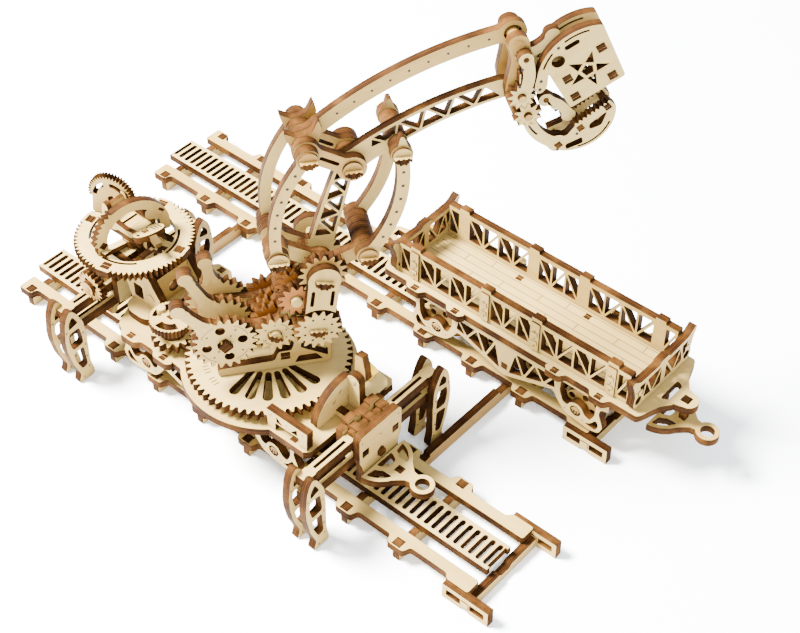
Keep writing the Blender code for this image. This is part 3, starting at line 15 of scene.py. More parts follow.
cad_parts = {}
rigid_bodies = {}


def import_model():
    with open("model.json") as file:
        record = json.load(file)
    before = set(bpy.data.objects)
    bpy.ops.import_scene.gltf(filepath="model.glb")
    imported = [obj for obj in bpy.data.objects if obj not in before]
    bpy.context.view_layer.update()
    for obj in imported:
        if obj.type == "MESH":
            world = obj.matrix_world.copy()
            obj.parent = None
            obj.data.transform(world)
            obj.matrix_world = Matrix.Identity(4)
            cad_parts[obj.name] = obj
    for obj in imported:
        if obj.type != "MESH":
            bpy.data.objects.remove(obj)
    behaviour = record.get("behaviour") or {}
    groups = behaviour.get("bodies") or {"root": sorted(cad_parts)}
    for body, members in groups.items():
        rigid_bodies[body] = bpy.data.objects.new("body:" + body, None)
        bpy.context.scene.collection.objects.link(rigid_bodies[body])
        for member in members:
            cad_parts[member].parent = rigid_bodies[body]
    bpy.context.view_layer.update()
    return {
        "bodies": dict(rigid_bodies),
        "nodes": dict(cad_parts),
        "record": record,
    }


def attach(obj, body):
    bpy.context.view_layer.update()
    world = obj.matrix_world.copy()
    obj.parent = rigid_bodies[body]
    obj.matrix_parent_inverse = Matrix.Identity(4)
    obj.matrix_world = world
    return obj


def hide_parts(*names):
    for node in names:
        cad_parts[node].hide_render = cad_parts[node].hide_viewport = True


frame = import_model()
kept = set(frame["nodes"].values()) | set(frame["bodies"].values())
for leftover in list(bpy.data.objects):
    if leftover not in kept:
        bpy.data.objects.remove(leftover, do_unlink=True)
BODY_OF = {
    node: body for body, nodes in frame["record"]["behaviour"]["bodies"].items() for node in nodes
}

# %% [markdown]
# ## Sizes
# The same values as the CAD source: one sheet thickness, one running clearance, the gear modules
# and the places of the pivots. All lengths are in millimetres until a mesh is made.

# %% Shared sizes
MM = 0.001
PLY = 3.0
GAP = 0.3
LAYER = PLY + GAP
BURR = 0.09
FINE_BURR = 0.05
PIN_R = 1.9
HOLE_R = 2.1
CAP_R = 3.3
CAP_T = 1.5
MODULE = 0.95
JAW_MODULE = 0.77
TRACK_SPACING = 81.5
FAR_TRACK_SHIFT = -11.5
RAIL_TOP = 7.4
RACK_WIDTH = 12.8
SLOT_PITCH = 3.2
RACK_SLOTS = 70
FIRST_SLOT_X = 97.0
RAIL_LEFT = -121.6
RAIL_RIGHT = 100.4
RAIL_INNER = 11.5
RAIL_OUTER = 15.9
SLEEPER_PITCH = 23.36
END_SLEEPER_X = 101.0
WHEEL_R = 6.9
FLANGE_R = 8.2
WHEEL_INNER = 11.1
AXLE_Z = RAIL_TOP + 7.0
AXLE_R = 1.6
AXLE_OFFSET = 32.0
DECK_TOP = 29.8
DECK_HALF = 22.6
CAR_X = -16.8
WAGON_X = 50.6
BASE = DECK_TOP + GAP
SLEW_X = -4.2
SLEW_TOP = 34.9
CABIN_X = -70.1
RING_TOP = 51.5
LEVER_AXIS = Vector((-15.7, 53.8))
DOTTED_AXIS = Vector((15.5, 57.3))
SHOULDER = Vector((18.2, 78.7))
REAR_PIVOT = Vector((3.8, 87.4))
LINK_VECTOR = Vector((11.0, 40.0))
CRANK_VECTOR = Vector((15.0, 5.9))
WRIST = Vector((81.6, 141.0))
ROD_END = Vector((80.5, 158.0))
ELBOW = SHOULDER + LINK_VECTOR
REAR_ELBOW = REAR_PIVOT + LINK_VECTOR
CRANK_PIN = SHOULDER + CRANK_VECTOR
BOOM_TAIL = ELBOW + CRANK_VECTOR
print("one layer of ply and its clearance:", LAYER, "mm")

# %% [markdown]
# ## Planes to cut in
# A laser-cut kit is a stack of flat sheets, so each piece is drawn flat and then put in its plane:
# lying, standing along the track, standing across it, or in the slanting plane of the arm.

# %% Planes
def moved(x, y, z):
    """A shift given in millimetres."""
    return Matrix.Translation(Vector((x, y, z)) * MM)


def axes(along, up, out):
    return Matrix((along, up, out)).transposed().to_4x4()


FLAT = Matrix.Identity(4)
FACING_NEAR = axes((1, 0, 0), (0, 0, 1), (0, -1, 0))
FACING_RIGHT = axes((0, 1, 0), (0, 0, 1), (1, 0, 0))
HEADING = math.radians(53.0)
ARM_PLANE = moved(SLEW_X, 0, 0) @ axes(
    (math.cos(HEADING), math.sin(HEADING), 0), (0, 0, 1), (math.sin(HEADING), -math.cos(HEADING), 0)
)


def across_at(x, y):
    """A standing plane across the track, seen from the right end."""
    return moved(x, y, 0) @ FACING_RIGHT


def arm_at(point):
    """The arm's own plane with its origin at a pivot."""
    return ARM_PLANE @ moved(point[0], point[1], 0)


def layer(index):
    """Height of the middle of a sheet in the stack of the arm plane."""
    return index * LAYER


def face(index, side):
    """Height of a sheet's front or back face."""
    return index * LAYER + side * PLY / 2


def lifted(place, height):
    """The same plane, moved along its own normal."""
    return place @ moved(0, 0, height)


def at_layer(place, index):
    return lifted(place, layer(index))


print("arm plane heading", round(math.degrees(HEADING), 1), "degrees")

# %% [markdown]
# ## Outlines
# The outlines are drawn with few points and then eased: `rounded` replaces each corner by a short
# curve, as the laser beam does, and slots, eyes and teeth come from formulas. That is quicker to
# read than a traced outline, and every arc stays smooth in a close view.

# %% Simple outlines
def polar(radius, angle):
    return (radius * math.cos(angle), radius * math.sin(angle))


def arc(centre, radius, start, end, steps):
    points = []
    for index in range(steps + 1):
        angle = math.radians(start + (end - start) * index / steps)
        points.append((centre[0] + radius * math.cos(angle), centre[1] + radius * math.sin(angle)))
    return points


def circle(centre, radius, sides=28):
    return arc(centre, radius, 0, 360 - 360 / sides, sides - 1)


def box(left, bottom, right, top):
    return [(left, bottom), (right, bottom), (right, top), (left, top)]


def turned(points, angle, centre=(0, 0)):
    cosine, sine = math.cos(math.radians(angle)), math.sin(math.radians(angle))
    return [
        (centre[0] + x * cosine - y * sine, centre[1] + x * sine + y * cosine) for x, y in points
    ]


def slanted(centre, length, width, angle):
    return turned(box(-length / 2, -width / 2, length / 2, width / 2), angle, centre)


def slot(centre, length, width, angle=90.0):
    half = (length - width) / 2
    ends = arc((half, 0), width / 2, -90, 90, 6) + arc((-half, 0), width / 2, 90, 270, 6)
    return turned(ends, angle, centre)


def arc_slot(centre, radius, width, start, end, steps=10):
    outer = arc(centre, radius + width / 2, start, end, steps)
    inner = arc(centre, radius - width / 2, end, start, steps)
    return outer + inner


def both_sides(half):
    return half + [(-x, y) for x, y in reversed(half)]


def sided(points, side):
    """The outline as drawn for side 1, mirrored left to right for side -1."""
    return [(side * x, y) for x, y in points]


def upside_down(points):
    return [(x, -y) for x, y in reversed(points)]


def rounded(points, radius, steps=4):
    eased = []
    count = len(points)
    for index in range(count):
        before, here, after = (Vector(points[(index + k) % count]) for k in (-1, 0, 1))
        reach_in = min(radius, (before - here).length * 0.45)
        reach_out = min(radius, (after - here).length * 0.45)
        if (before - here).length < 1e-6 or (after - here).length < 1e-6:
            continue
        start = here + (before - here).normalized() * reach_in
        end = here + (after - here).normalized() * reach_out
        straight = (before - here).normalized().dot((after - here).normalized())
        if straight < -0.985:
            eased.append(tuple(here))
            continue
        for step in range(steps + 1):
            t = step / steps
            eased.append(tuple(start * (1 - t) ** 2 + here * 2 * t * (1 - t) + end * t * t))
    return eased


print("simple outlines ready")

# %% [markdown]
# ## Trusses and bowed strips
# A truss is a zigzag of knots with each triangle inset, so that webs of one width are left. A strip
# follows a shallow parabola between two eyes, which is how all the curved links are drawn.

# %% Trusses and strips
def inset_triangle(corners, margin):
    a, b, c = (Vector(corner) for corner in corners)
    side_a, side_b, side_c = (b - c).length, (c - a).length, (a - b).length
    around = side_a + side_b + side_c
    centre = (a * side_a + b * side_b + c * side_c) / around
    area = abs((b - a).x * (c - a).y - (b - a).y * (c - a).x) / 2
    factor = 1 - margin * around / (2 * area)
    if factor <= 0.12:
        return None
    return [tuple(centre + (corner - centre) * factor) for corner in (a, b, c)]


def truss(knots, margin, ease=0.5):
    windows = []
    for first, second, third in zip(knots, knots[1:], knots[2:]):
        window = inset_triangle((first, second, third), margin)
        if window:
            windows.append(rounded(window, ease, 3))
    return windows


def bow_point(start, end, sagitta, share):
    chord = Vector(end) - Vector(start)
    side = Vector((-chord.y, chord.x)).normalized()
    point = Vector(start) + chord * share + side * (4 * sagitta * share * (1 - share))
    return point, (chord + side * (4 * sagitta * (1 - 2 * share))).normalized()


def strip(start, end, sagitta, width, start_r, end_r, steps=14):
    """A bowed strip with a round eye at each end."""
    left, right = [], []
    length = (Vector(end) - Vector(start)).length
    first, last = start_r * 0.9 / length, 1 - end_r * 0.9 / length
    for index in range(steps + 1):
        share = first + (last - first) * index / steps
        point, direction = bow_point(start, end, sagitta, share)
        side = Vector((-direction.y, direction.x)) * width / 2
        left.append(tuple(point + side))
        right.append(tuple(point - side))
    eyes = []
    for share, centre, radius, back in ((1.0, end, end_r, 180), (0.0, start, start_r, 0)):
        direction = bow_point(start, end, sagitta, share)[1]
        heading = math.degrees(math.atan2(direction.y, direction.x))
        mouth = math.degrees(math.asin(min(0.95, width / 2 / radius))) + 8
        eyes.append(arc(centre, radius, heading - back + mouth, heading - back + 360 - mouth, 18))
    return right + eyes[0] + left[::-1] + eyes[1]


def bow_dots(start, end, sagitta, first, last, count):
    step = (last - first) / max(1, count - 1)
    return [tuple(bow_point(start, end, sagitta, first + step * index)[0]) for index in range(count)]


print("trusses and strips ready")

# %% [markdown]
# ## Gears that mesh
# Teeth have straight flanks and eased tips. `meshing_phase` turns a gear so that its gaps meet the
# teeth of its neighbour, and `touching_centre` finds an axle that meshes with two gears at once.

# %% Gears
def toothed(teeth, module, phase=0.0, tip=0.8, root=1.15):
    """Straight-flanked teeth with eased tips, the first one centred on the phase angle."""
    pitch_r = teeth * module / 2
    half = math.pi * module / 4 * 0.9
    profile = (
        (pitch_r - root * module, half + 0.34 * root * module),
        (pitch_r, half),
        (pitch_r + tip * module * 0.75, half - 0.3 * tip * module),
        (pitch_r + tip * module, half - 0.55 * tip * module),
    )
    points = []
    for tooth in range(teeth):
        middle = math.radians(phase + tooth * 360 / teeth)
        for side in (-1, 1):
            for radius, reach in profile[::-side]:
                points.append(polar(radius, middle + side * reach / radius))
    return points


def pitch_radius(teeth, module=MODULE):
    return teeth * module / 2


def meshing_phase(centre, teeth, phase, other_centre, other_teeth):
    line = Vector(other_centre) - Vector(centre)
    angle = math.degrees(math.atan2(line.y, line.x))
    share = ((angle - phase) * teeth / 360.0) % 1.0
    return angle + 180.0 + (share + 0.5) * 360.0 / other_teeth


def touching_centre(first, first_r, second, second_r, side):
    line = Vector(second) - Vector(first)
    along = (line.length ** 2 + first_r ** 2 - second_r ** 2) / (2 * line.length)
    across = math.sqrt(first_r ** 2 - along ** 2)
    direction = line.normalized()
    return Vector(first) + direction * along + Vector((-direction.y, direction.x)) * across * side


print("gear outlines ready: a 16 tooth gear has a pitch radius of", pitch_radius(16), "mm")

# %% [markdown]
# ## Cutting a plate
# A sheet could be built from hand-made faces, or from a cube cut with booleans. A filled 2D curve
# is simpler and never fails on holes: the curve's own extrude gives the thickness and a tiny bevel
# gives the burnt arris that a laser leaves. It is made a mesh, welded, and each corner is marked
# in one colour attribute: red for a cut edge, green for the depth in the sheet, blue for the
# sheet's own tone and alpha for engraving. A UV map in metres carries the grain.

# %% Plates
tones = random.Random(11)


def signed_area(loop):
    return sum(a[0] * b[1] - b[0] * a[1] for a, b in zip(loop, loop[1:] + loop[:1])) / 2


def flat_curve(loops, extrude, burr):
    curve = bpy.data.curves.new("outline", "CURVE")
    curve.dimensions = "2D"
    curve.fill_mode = "BOTH"
    curve.extrude = extrude * MM
    curve.bevel_depth = burr * MM
    curve.bevel_resolution = 0
    curve.offset = -burr * MM
    for number, loop in enumerate(loops):
        if (signed_area(loop) > 0) == (number > 0):
            loop = loop[::-1]
        spline = curve.splines.new("POLY")
        spline.points.add(len(loop) - 1)
        for point, (x, y) in zip(spline.points, loop):
            point.co = (x * MM, y * MM, 0, 1)
        spline.use_cyclic_u = True
    drawn = bpy.data.objects.new("outline", curve)
    bpy.context.scene.collection.objects.link(drawn)
    mesh = bpy.data.meshes.new_from_object(
        drawn.evaluated_get(bpy.context.evaluated_depsgraph_get())
    )
    bpy.data.objects.remove(drawn, do_unlink=True)
    bpy.data.curves.remove(curve)
    return mesh


def marked(sheet, place, thickness, grain, engraved=0.0, edge=None, pale=None, bands=None):
    """Write the cut, depth, tone and engraving marks and the grain map, then put it in place.

    edge forces the cut mark, pale names the one direction that shows a clean face, and bands
    gives an angle, a size and a centre for veneers that are seen end on.
    """
    marks = sheet.loops.layers.float_color.new("ply")
    grain_map = sheet.loops.layers.uv.new("grain")
    tone = tones.random()
    shift = Vector((tones.random(), tones.random()))
    cosine, sine = math.cos(math.radians(grain)), math.sin(math.radians(grain))
    for surface in sheet.faces:
        cut = 0.0 if abs(surface.normal.z) > 0.9 else 1.0
        if edge is not None:
            cut = edge
        if pale is not None:
            cut = 0.0 if surface.normal.dot(Vector(pale)) > 0.85 else 1.0
        for corner in surface.loops:
            x, y, z = corner.vert.co
            depth = min(1.0, max(0.0, z / (thickness * MM) + 0.5))
            if bands is not None:
                turn, size, middle = bands
                across = (y / MM - middle[1]) * math.cos(math.radians(turn))
                across -= (x / MM - middle[0]) * math.sin(math.radians(turn))
                depth = min(1.0, max(0.0, across / size + 0.5))
            corner[marks] = (cut, depth, tone, engraved)
            corner[grain_map].uv = (x * cosine + y * sine + shift.x, y * cosine - x * sine + shift.y)
    bmesh.ops.transform(sheet, matrix=place, verts=sheet.verts)
    mesh = bpy.data.meshes.new("shell")
    sheet.to_mesh(mesh)
    sheet.free()
    return mesh


def ply(outline, holes=(), place=FLAT, thickness=PLY, grain=0.0, burr=BURR, **look):
    """A flat sheet cut to an outline with holes."""
    drawn = flat_curve([outline, *holes], thickness / 2 - burr, burr)
    sheet = bmesh.new()
    sheet.from_mesh(drawn)
    bpy.data.meshes.remove(drawn)
    bmesh.ops.remove_doubles(sheet, verts=sheet.verts, dist=0.000002)
    bmesh.ops.recalc_face_normals(sheet, faces=sheet.faces)
    return marked(sheet, place, thickness, grain, **look)


print("plates ready")

# %% [markdown]
# ## Sticks and engraving
# A dowel is a round stick with eased ends. An engraved mark is a thin patch a hair above the sheet,
# dark by its alpha, so that dots and lines need no picture.

# %% Dowels and marks
def dowel(centre, radius, low, high, place, sides=24, edge=0.25):
    """A round stick normal to the plane, its ends eased."""
    stick = bmesh.new()
    length = (high - low) * MM
    bmesh.ops.create_cone(
        stick, cap_ends=True, segments=sides, radius1=radius * MM, radius2=radius * MM, depth=length
    )
    rims = [e for e in stick.edges if abs(e.verts[0].co.z - e.verts[1].co.z) < 1e-9]
    bmesh.ops.bevel(
        stick, geom=rims, offset=0.2 * MM, offset_type="OFFSET", segments=2, profile=0.5,
        affect="EDGES", material=-1, clamp_overlap=True,
    )
    there = place @ moved(centre[0], centre[1], (low + high) / 2)
    return marked(stick, there, high - low, 0.0, 0.0, edge)


def mark(outline, place, height, strength=1.0):
    """An engraved patch, a hair proud of the sheet at that height."""
    drawn = flat_curve([outline], 0.0, 0.0)
    patch = bmesh.new()
    patch.from_mesh(drawn)
    bpy.data.meshes.remove(drawn)
    bmesh.ops.remove_doubles(patch, verts=patch.verts, dist=0.000002)
    for surface in patch.faces:
        if (surface.normal.z > 0) != (height > 0):
            surface.normal_flip()
    lift = math.copysign(0.03, height)
    return marked(patch, lifted(place, height + lift), PLY, 0.0, strength, 0.0)


def dots(points, place, height, radius=0.5):
    return [mark(circle(point, radius, 8), place, height) for point in points]


print("dowels and marks ready")

# %% [markdown]
# ## Peg ends
# Wherever a tenon or an axle comes through a sheet, its end grain shows as a brown ribbed square or
# half round.

# %% Peg ends
def tenon(outline, place, thickness, grain=0.0):
    """A plain brown peg that stands out of the sheet it goes through."""
    return ply(outline, (), place, thickness, grain, FINE_BURR, edge=1.0)


def square_peg(x, y, place, height, size=2.9, angle=0.0, ribs=3):
    """The end of a tenon: brown end grain in ribs, a little proud of its hole."""
    shells = []
    for number in range(ribs):
        across = (number - (ribs - 1) / 2) * size / ribs
        bar = box(-size / 2, across - size / ribs * 0.44, size / 2, across + size / ribs * 0.44)
        bar = turned(bar, angle, (x, y))
        top = height + (0.3 if number % 2 == 0 else 0.08)
        look = {"edge": 1.0, "bands": (angle, size, (x, y))}
        shells.append(ply(bar, (), lifted(place, top / 2), top, angle, FINE_BURR, **look))
    return shells


def peg_end(centre, place, near, outward=1, radius=2.6, angle=0.0, proud=1.9):
    """The end of a half-round axle: a clean flat on top and a ribbed brown end below."""
    shells = []
    up = turned([(0, 1)], angle)[0]
    ribs = 7
    for number in range(ribs):
        left = -radius + 2 * radius * number / ribs + 0.04
        right = -radius + 2 * radius * (number + 1) / ribs - 0.04
        drop = math.sqrt(max(0.4, radius ** 2 - ((left + right) / 2) ** 2))
        bar = turned(box(left, 0.3 - drop * 0.86, right, 0.3), angle, centre)
        deep = proud if number % 2 == 0 else proud - 0.4
        look = {"pale": (up[0], up[1], 0.0), "bands": (angle + 90, 2.4 * radius, centre)}
        plane = lifted(place, near + outward * (deep / 2 - 0.1))
        shells.append(ply(bar, (), plane, deep, angle, FINE_BURR, **look))
    return shells


def axle_cap(centre, place, near, outward, radius=CAP_R):
    """A round washer with the half-round end of the axle standing out of it."""
    shells = [ply(circle(centre, radius, 30), (), lifted(place, near + outward * 0.45), 0.9)]
    return shells + peg_end(centre, place, near + outward * 0.9, outward, radius * 0.86)


print("peg ends ready")

# %% [markdown]
# ## One piece for each node
# The shells of a part are gathered in one mesh that rides on the part's body and replaces its CAD
# node in the picture. Smooth shading with sharp edges keeps the arcs round and the arrises crisp.

# %% Gathering the shells
def build(node, shells, finish):
    """Gather the shells of one CAD node in one piece that rides where the node rides."""
    work = bmesh.new()
    for shell in shells:
        work.from_mesh(shell)
        bpy.data.meshes.remove(shell)
    mesh = bpy.data.meshes.new(node + "_ply")
    work.to_mesh(mesh)
    work.free()
    mesh.polygons.foreach_set("use_smooth", [True] * len(mesh.polygons))
    mesh.set_sharp_from_angle(angle=math.radians(28))
    mesh.materials.append(FINISHES[finish])
    piece = bpy.data.objects.new(node + "_ply", mesh)
    bpy.context.scene.collection.objects.link(piece)
    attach(piece, BODY_OF[node])
    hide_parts(node)
    counts[node] = len(mesh.polygons)
    return piece


counts = {}
print("ready to build", len(BODY_OF), "nodes")

# %% [markdown]
# ## Node helpers
# Each helper adds one shader node and returns its output socket, so that a group of nodes reads
# like a formula.

# %% Node helpers
def new_group(name, sockets_in, sockets_out):
    tree = bpy.data.node_groups.new(name, "ShaderNodeTree")
    for label, kind, value in sockets_in:
        socket = tree.interface.new_socket(name=label, in_out="INPUT", socket_type=kind)
        if value is not None:
            socket.default_value = value
    for label, kind in sockets_out:
        tree.interface.new_socket(name=label, in_out="OUTPUT", socket_type=kind)
    return tree, tree.nodes.new("NodeGroupInput"), tree.nodes.new("NodeGroupOutput")


def noise(tree, vector, scale, detail=4.0, roughness=0.55, stretch=(1, 1, 1)):
    mapping = tree.nodes.new("ShaderNodeMapping")
    mapping.inputs["Scale"].default_value = stretch
    texture = tree.nodes.new("ShaderNodeTexNoise")
    texture.inputs["Scale"].default_value = scale
    texture.inputs["Detail"].default_value = detail
    texture.inputs["Roughness"].default_value = roughness
    tree.links.new(vector, mapping.inputs["Vector"])
    tree.links.new(mapping.outputs["Vector"], texture.inputs["Vector"])
    return texture.outputs["Fac"]


def spread(tree, value, low, high, to_low=0.0, to_high=1.0):
    node = tree.nodes.new("ShaderNodeMapRange")
    limits = {"From Min": low, "From Max": high, "To Min": to_low, "To Max": to_high}
    for label, number in limits.items():
        node.inputs[label].default_value = number
    tree.links.new(value, node.inputs["Value"])
    return node.outputs["Result"]


def calc(tree, operation, first, second):
    node = tree.nodes.new("ShaderNodeMath")
    node.operation = operation
    for socket, value in zip(node.inputs, (first, second)):
        if isinstance(value, (int, float)):
            socket.default_value = value
        else:
            tree.links.new(value, socket)
    return node.outputs["Value"]


def scaled(tree, value, factor):
    return calc(tree, "MULTIPLY", value, factor)


def mixed(tree, factor, first, second, blend="MIX"):
    node = tree.nodes.new("ShaderNodeMix")
    node.data_type = "RGBA"
    node.blend_type = blend
    for number, value in ((0, factor), (6, first), (7, second)):
        socket = node.inputs[number]
        if isinstance(value, (int, float, tuple)):
            socket.default_value = value
        else:
            tree.links.new(value, socket)
    return node.outputs[2]


print("node helpers ready")

# %% [markdown]
# ## Birch plywood
# The face of the sheet is pale birch: long fine fibres, soft broader figure and short dark pores.
# The grain follows the grain UV map, so it runs along each piece. One group makes these masks for
# all four finishes, and each finish mixes its own colours from them.

# %% Group: birch grain
def birch_grain_group():
    tree, enter, leave = new_group(
        "birch_grain",
        [("Map", "NodeSocketVector", None), ("Tone", "NodeSocketFloat", 0.5)],
        [("Fibre", "NodeSocketFloat"), ("Figure", "NodeSocketFloat"), ("Pores", "NodeSocketFloat")],
    )
    where = enter.outputs["Map"]
    fibre = noise(tree, where, 1.0, 6.0, 0.62, (130, 2400, 1))
    broad = noise(tree, where, 1.0, 3.0, 0.5, (22, 210, 1))
    figure = calc(tree, "ADD", scaled(tree, broad, 0.7), scaled(tree, enter.outputs["Tone"], 0.3))
    pores = spread(tree, noise(tree, where, 1.0, 2.0, 0.5, (420, 5200, 1)), 0.66, 0.74)
    tree.links.new(spread(tree, fibre, 0.3, 0.72), leave.inputs["Fibre"])
    tree.links.new(spread(tree, figure, 0.3, 0.75), leave.inputs["Figure"])
    tree.links.new(pores, leave.inputs["Pores"])
    return tree


BIRCH_GRAIN = birch_grain_group()
print("birch grain:", len(BIRCH_GRAIN.nodes), "nodes")

# %% [markdown]
# ## The burnt edge
# The laser leaves a brown edge. Close up, the sheet's veneers show as bands: dark glue lines with
# lighter wood between, deepest brown at both faces, and the charring comes and goes along the cut.
# A colour ramp over the stored depth draws the bands, and a noise in object space breaks them up.

# %% Group: laser edge
TOAST = (0.088, 0.036, 0.008, 1.0)
SOOT = (0.005, 0.002, 0.001, 1.0)


def laser_edge_group():
    tree, enter, leave = new_group(
        "laser_edge",
        [("Depth", "NodeSocketFloat", 0.5), ("Place", "NodeSocketVector", None)],
        [("Color", "NodeSocketColor")],
    )
    where = enter.outputs["Place"]
    wander = scaled(tree, calc(tree, "SUBTRACT", noise(tree, where, 260.0, 3.0), 0.5), 0.09)
    depth = calc(tree, "ADD", enter.outputs["Depth"], wander)
    bands = tree.nodes.new("ShaderNodeValToRGB")
    burnt, brown, wood = (0.003, 0.0012, 0.0006), (0.009, 0.0034, 0.0013), (0.026, 0.0095, 0.0026)
    stops = (
        (0.0, burnt), (0.10, brown), (0.24, wood), (0.34, (0.005, 0.0018, 0.0008)),
        (0.46, (0.031, 0.0118, 0.0032)), (0.60, (0.019, 0.0070, 0.0020)),
        (0.68, (0.004, 0.0015, 0.0007)), (0.80, wood), (0.92, brown), (1.0, burnt),
    )
    ramp = bands.color_ramp
    while len(ramp.elements) < len(stops):
        ramp.elements.new(0.5)
    for element, (position, colour) in zip(ramp.elements, stops):
        element.position = position
        element.color = (*colour, 1.0)
    tree.links.new(depth, bands.inputs["Fac"])
    patchy = spread(tree, noise(tree, where, 95.0, 4.0), 0.36, 0.66)
    streaks = spread(tree, noise(tree, where, 1500.0, 2.0), 0.3, 0.7)
    toasted = mixed(tree, patchy, bands.outputs["Color"], TOAST)
    lighter = mixed(tree, scaled(tree, patchy, 0.62), bands.outputs["Color"], toasted)
    final = mixed(tree, scaled(tree, streaks, 0.28), lighter, SOOT)
    tree.links.new(final, leave.inputs["Color"])
    return tree


LASER_EDGE = laser_edge_group()
print("node groups:", [tree.name for tree in bpy.data.node_groups])

# %% [markdown]
# ## Four sheets of the same birch
# Each finish is one Principled material: grain on the faces, burnt bands on the edges, dark lines
# where engraved, a dry satin surface, and a bump that raises the fibres a little. The fourth is the
# same birch made darker and more orange: painted shade and warm bounced light for the plain gears.

# %% Ply finishes
PORE_BROWN = (0.10, 0.045, 0.012, 1.0)
ENGRAVING = (0.006, 0.003, 0.001, 1.0)


def ply_finish(name, pale, deep, amber):
    material = bpy.data.materials.new(name)
    material.use_nodes = True
    tree = material.node_tree
    shader = tree.nodes["Principled BSDF"]
    marks = tree.nodes.new("ShaderNodeAttribute")
    marks.attribute_name = "ply"
    parts = tree.nodes.new("ShaderNodeSeparateColor")
    tree.links.new(marks.outputs["Color"], parts.inputs["Color"])
    cut, depth, tone = (parts.outputs[label] for label in ("Red", "Green", "Blue"))
    grain_map = tree.nodes.new("ShaderNodeUVMap")
    grain_map.uv_map = "grain"
    where = tree.nodes.new("ShaderNodeTexCoord")
    grain = tree.nodes.new("ShaderNodeGroup")
    grain.node_tree = BIRCH_GRAIN
    tree.links.new(grain_map.outputs["UV"], grain.inputs["Map"])
    tree.links.new(tone, grain.inputs["Tone"])
    edge = tree.nodes.new("ShaderNodeGroup")
    edge.node_tree = LASER_EDGE
    tree.links.new(depth, edge.inputs["Depth"])
    tree.links.new(where.outputs["Object"], edge.inputs["Place"])
    body = mixed(tree, grain.outputs["Figure"], pale, deep)
    fibre, pores = grain.outputs["Fibre"], grain.outputs["Pores"]
    body = mixed(tree, scaled(tree, fibre, 0.34), body, amber, "MULTIPLY")
    body = mixed(tree, scaled(tree, pores, 0.35), body, PORE_BROWN)
    body = mixed(tree, cut, body, edge.outputs["Color"])
    body = mixed(tree, marks.outputs["Alpha"], body, ENGRAVING)
    tree.links.new(body, shader.inputs["Base Color"])
    tree.links.new(spread(tree, fibre, 0.0, 1.0, 0.5, 0.66), shader.inputs["Roughness"])
    bump = tree.nodes.new("ShaderNodeBump")
    bump.inputs["Strength"].default_value = 0.22
    bump.inputs["Distance"].default_value = 0.00006
    tree.links.new(calc(tree, "SUBTRACT", fibre, pores), bump.inputs["Height"])
    tree.links.new(bump.outputs["Normal"], shader.inputs["Normal"])
    gloss = calc(tree, "SUBTRACT", 0.16, scaled(tree, cut, 0.15))
    tree.links.new(gloss, shader.inputs["Specular IOR Level"])
    return material


SHEETS = {
    "birch_face": ((0.300, 0.212, 0.066, 1), (0.225, 0.143, 0.034, 1), (0.76, 0.56, 0.32, 1)),
    "birch_warm": ((0.245, 0.152, 0.036, 1), (0.180, 0.095, 0.017, 1), (0.74, 0.52, 0.28, 1)),
    "birch_pale": ((0.340, 0.250, 0.090, 1), (0.265, 0.178, 0.048, 1), (0.78, 0.60, 0.36, 1)),
    # A darker, more orange copy of the birch: painted shade and warm bounced light for the plain gears of
    # the trains.
    "birch_painted_shade": ((0.215, 0.083, 0.010, 1), (0.150, 0.048, 0.005, 1), (0.70, 0.42, 0.20, 1)),
}
FINISHES = {name: ply_finish(name, *colours) for name, colours in SHEETS.items()}
print("finishes:", ", ".join(FINISHES))

# %% [markdown]
# ## The two tracks
# Each track is a slotted rack between two rails. The rails have ears where the sleepers' tenons
# come through, so a brown end-grain square shows in every ear. The sleepers are boards on edge,
# and windowed plates stand at the right end where the next length of track would clip on.

# %% Tracks
def sleeper_outline(half, blocks):
    under_rail = RAIL_TOP - PLY
    edge = RACK_WIDTH / 2 + GAP
    side = [(half, 0), (half, under_rail)]
    if blocks:
        side = [(half, 0), (half, RAIL_TOP + 0.08), (half - 2.6, RAIL_TOP + 0.08), (half - 2.6, under_rail)]
        side += [(RAIL_INNER - 0.3, under_rail), (RAIL_INNER - 0.5, 5.6), (edge + 0.6, 5.6)]
    side += [(edge, under_rail - 0.3), (3.2, under_rail - GAP), (2.0, 3.0)]
    return both_sides(side)


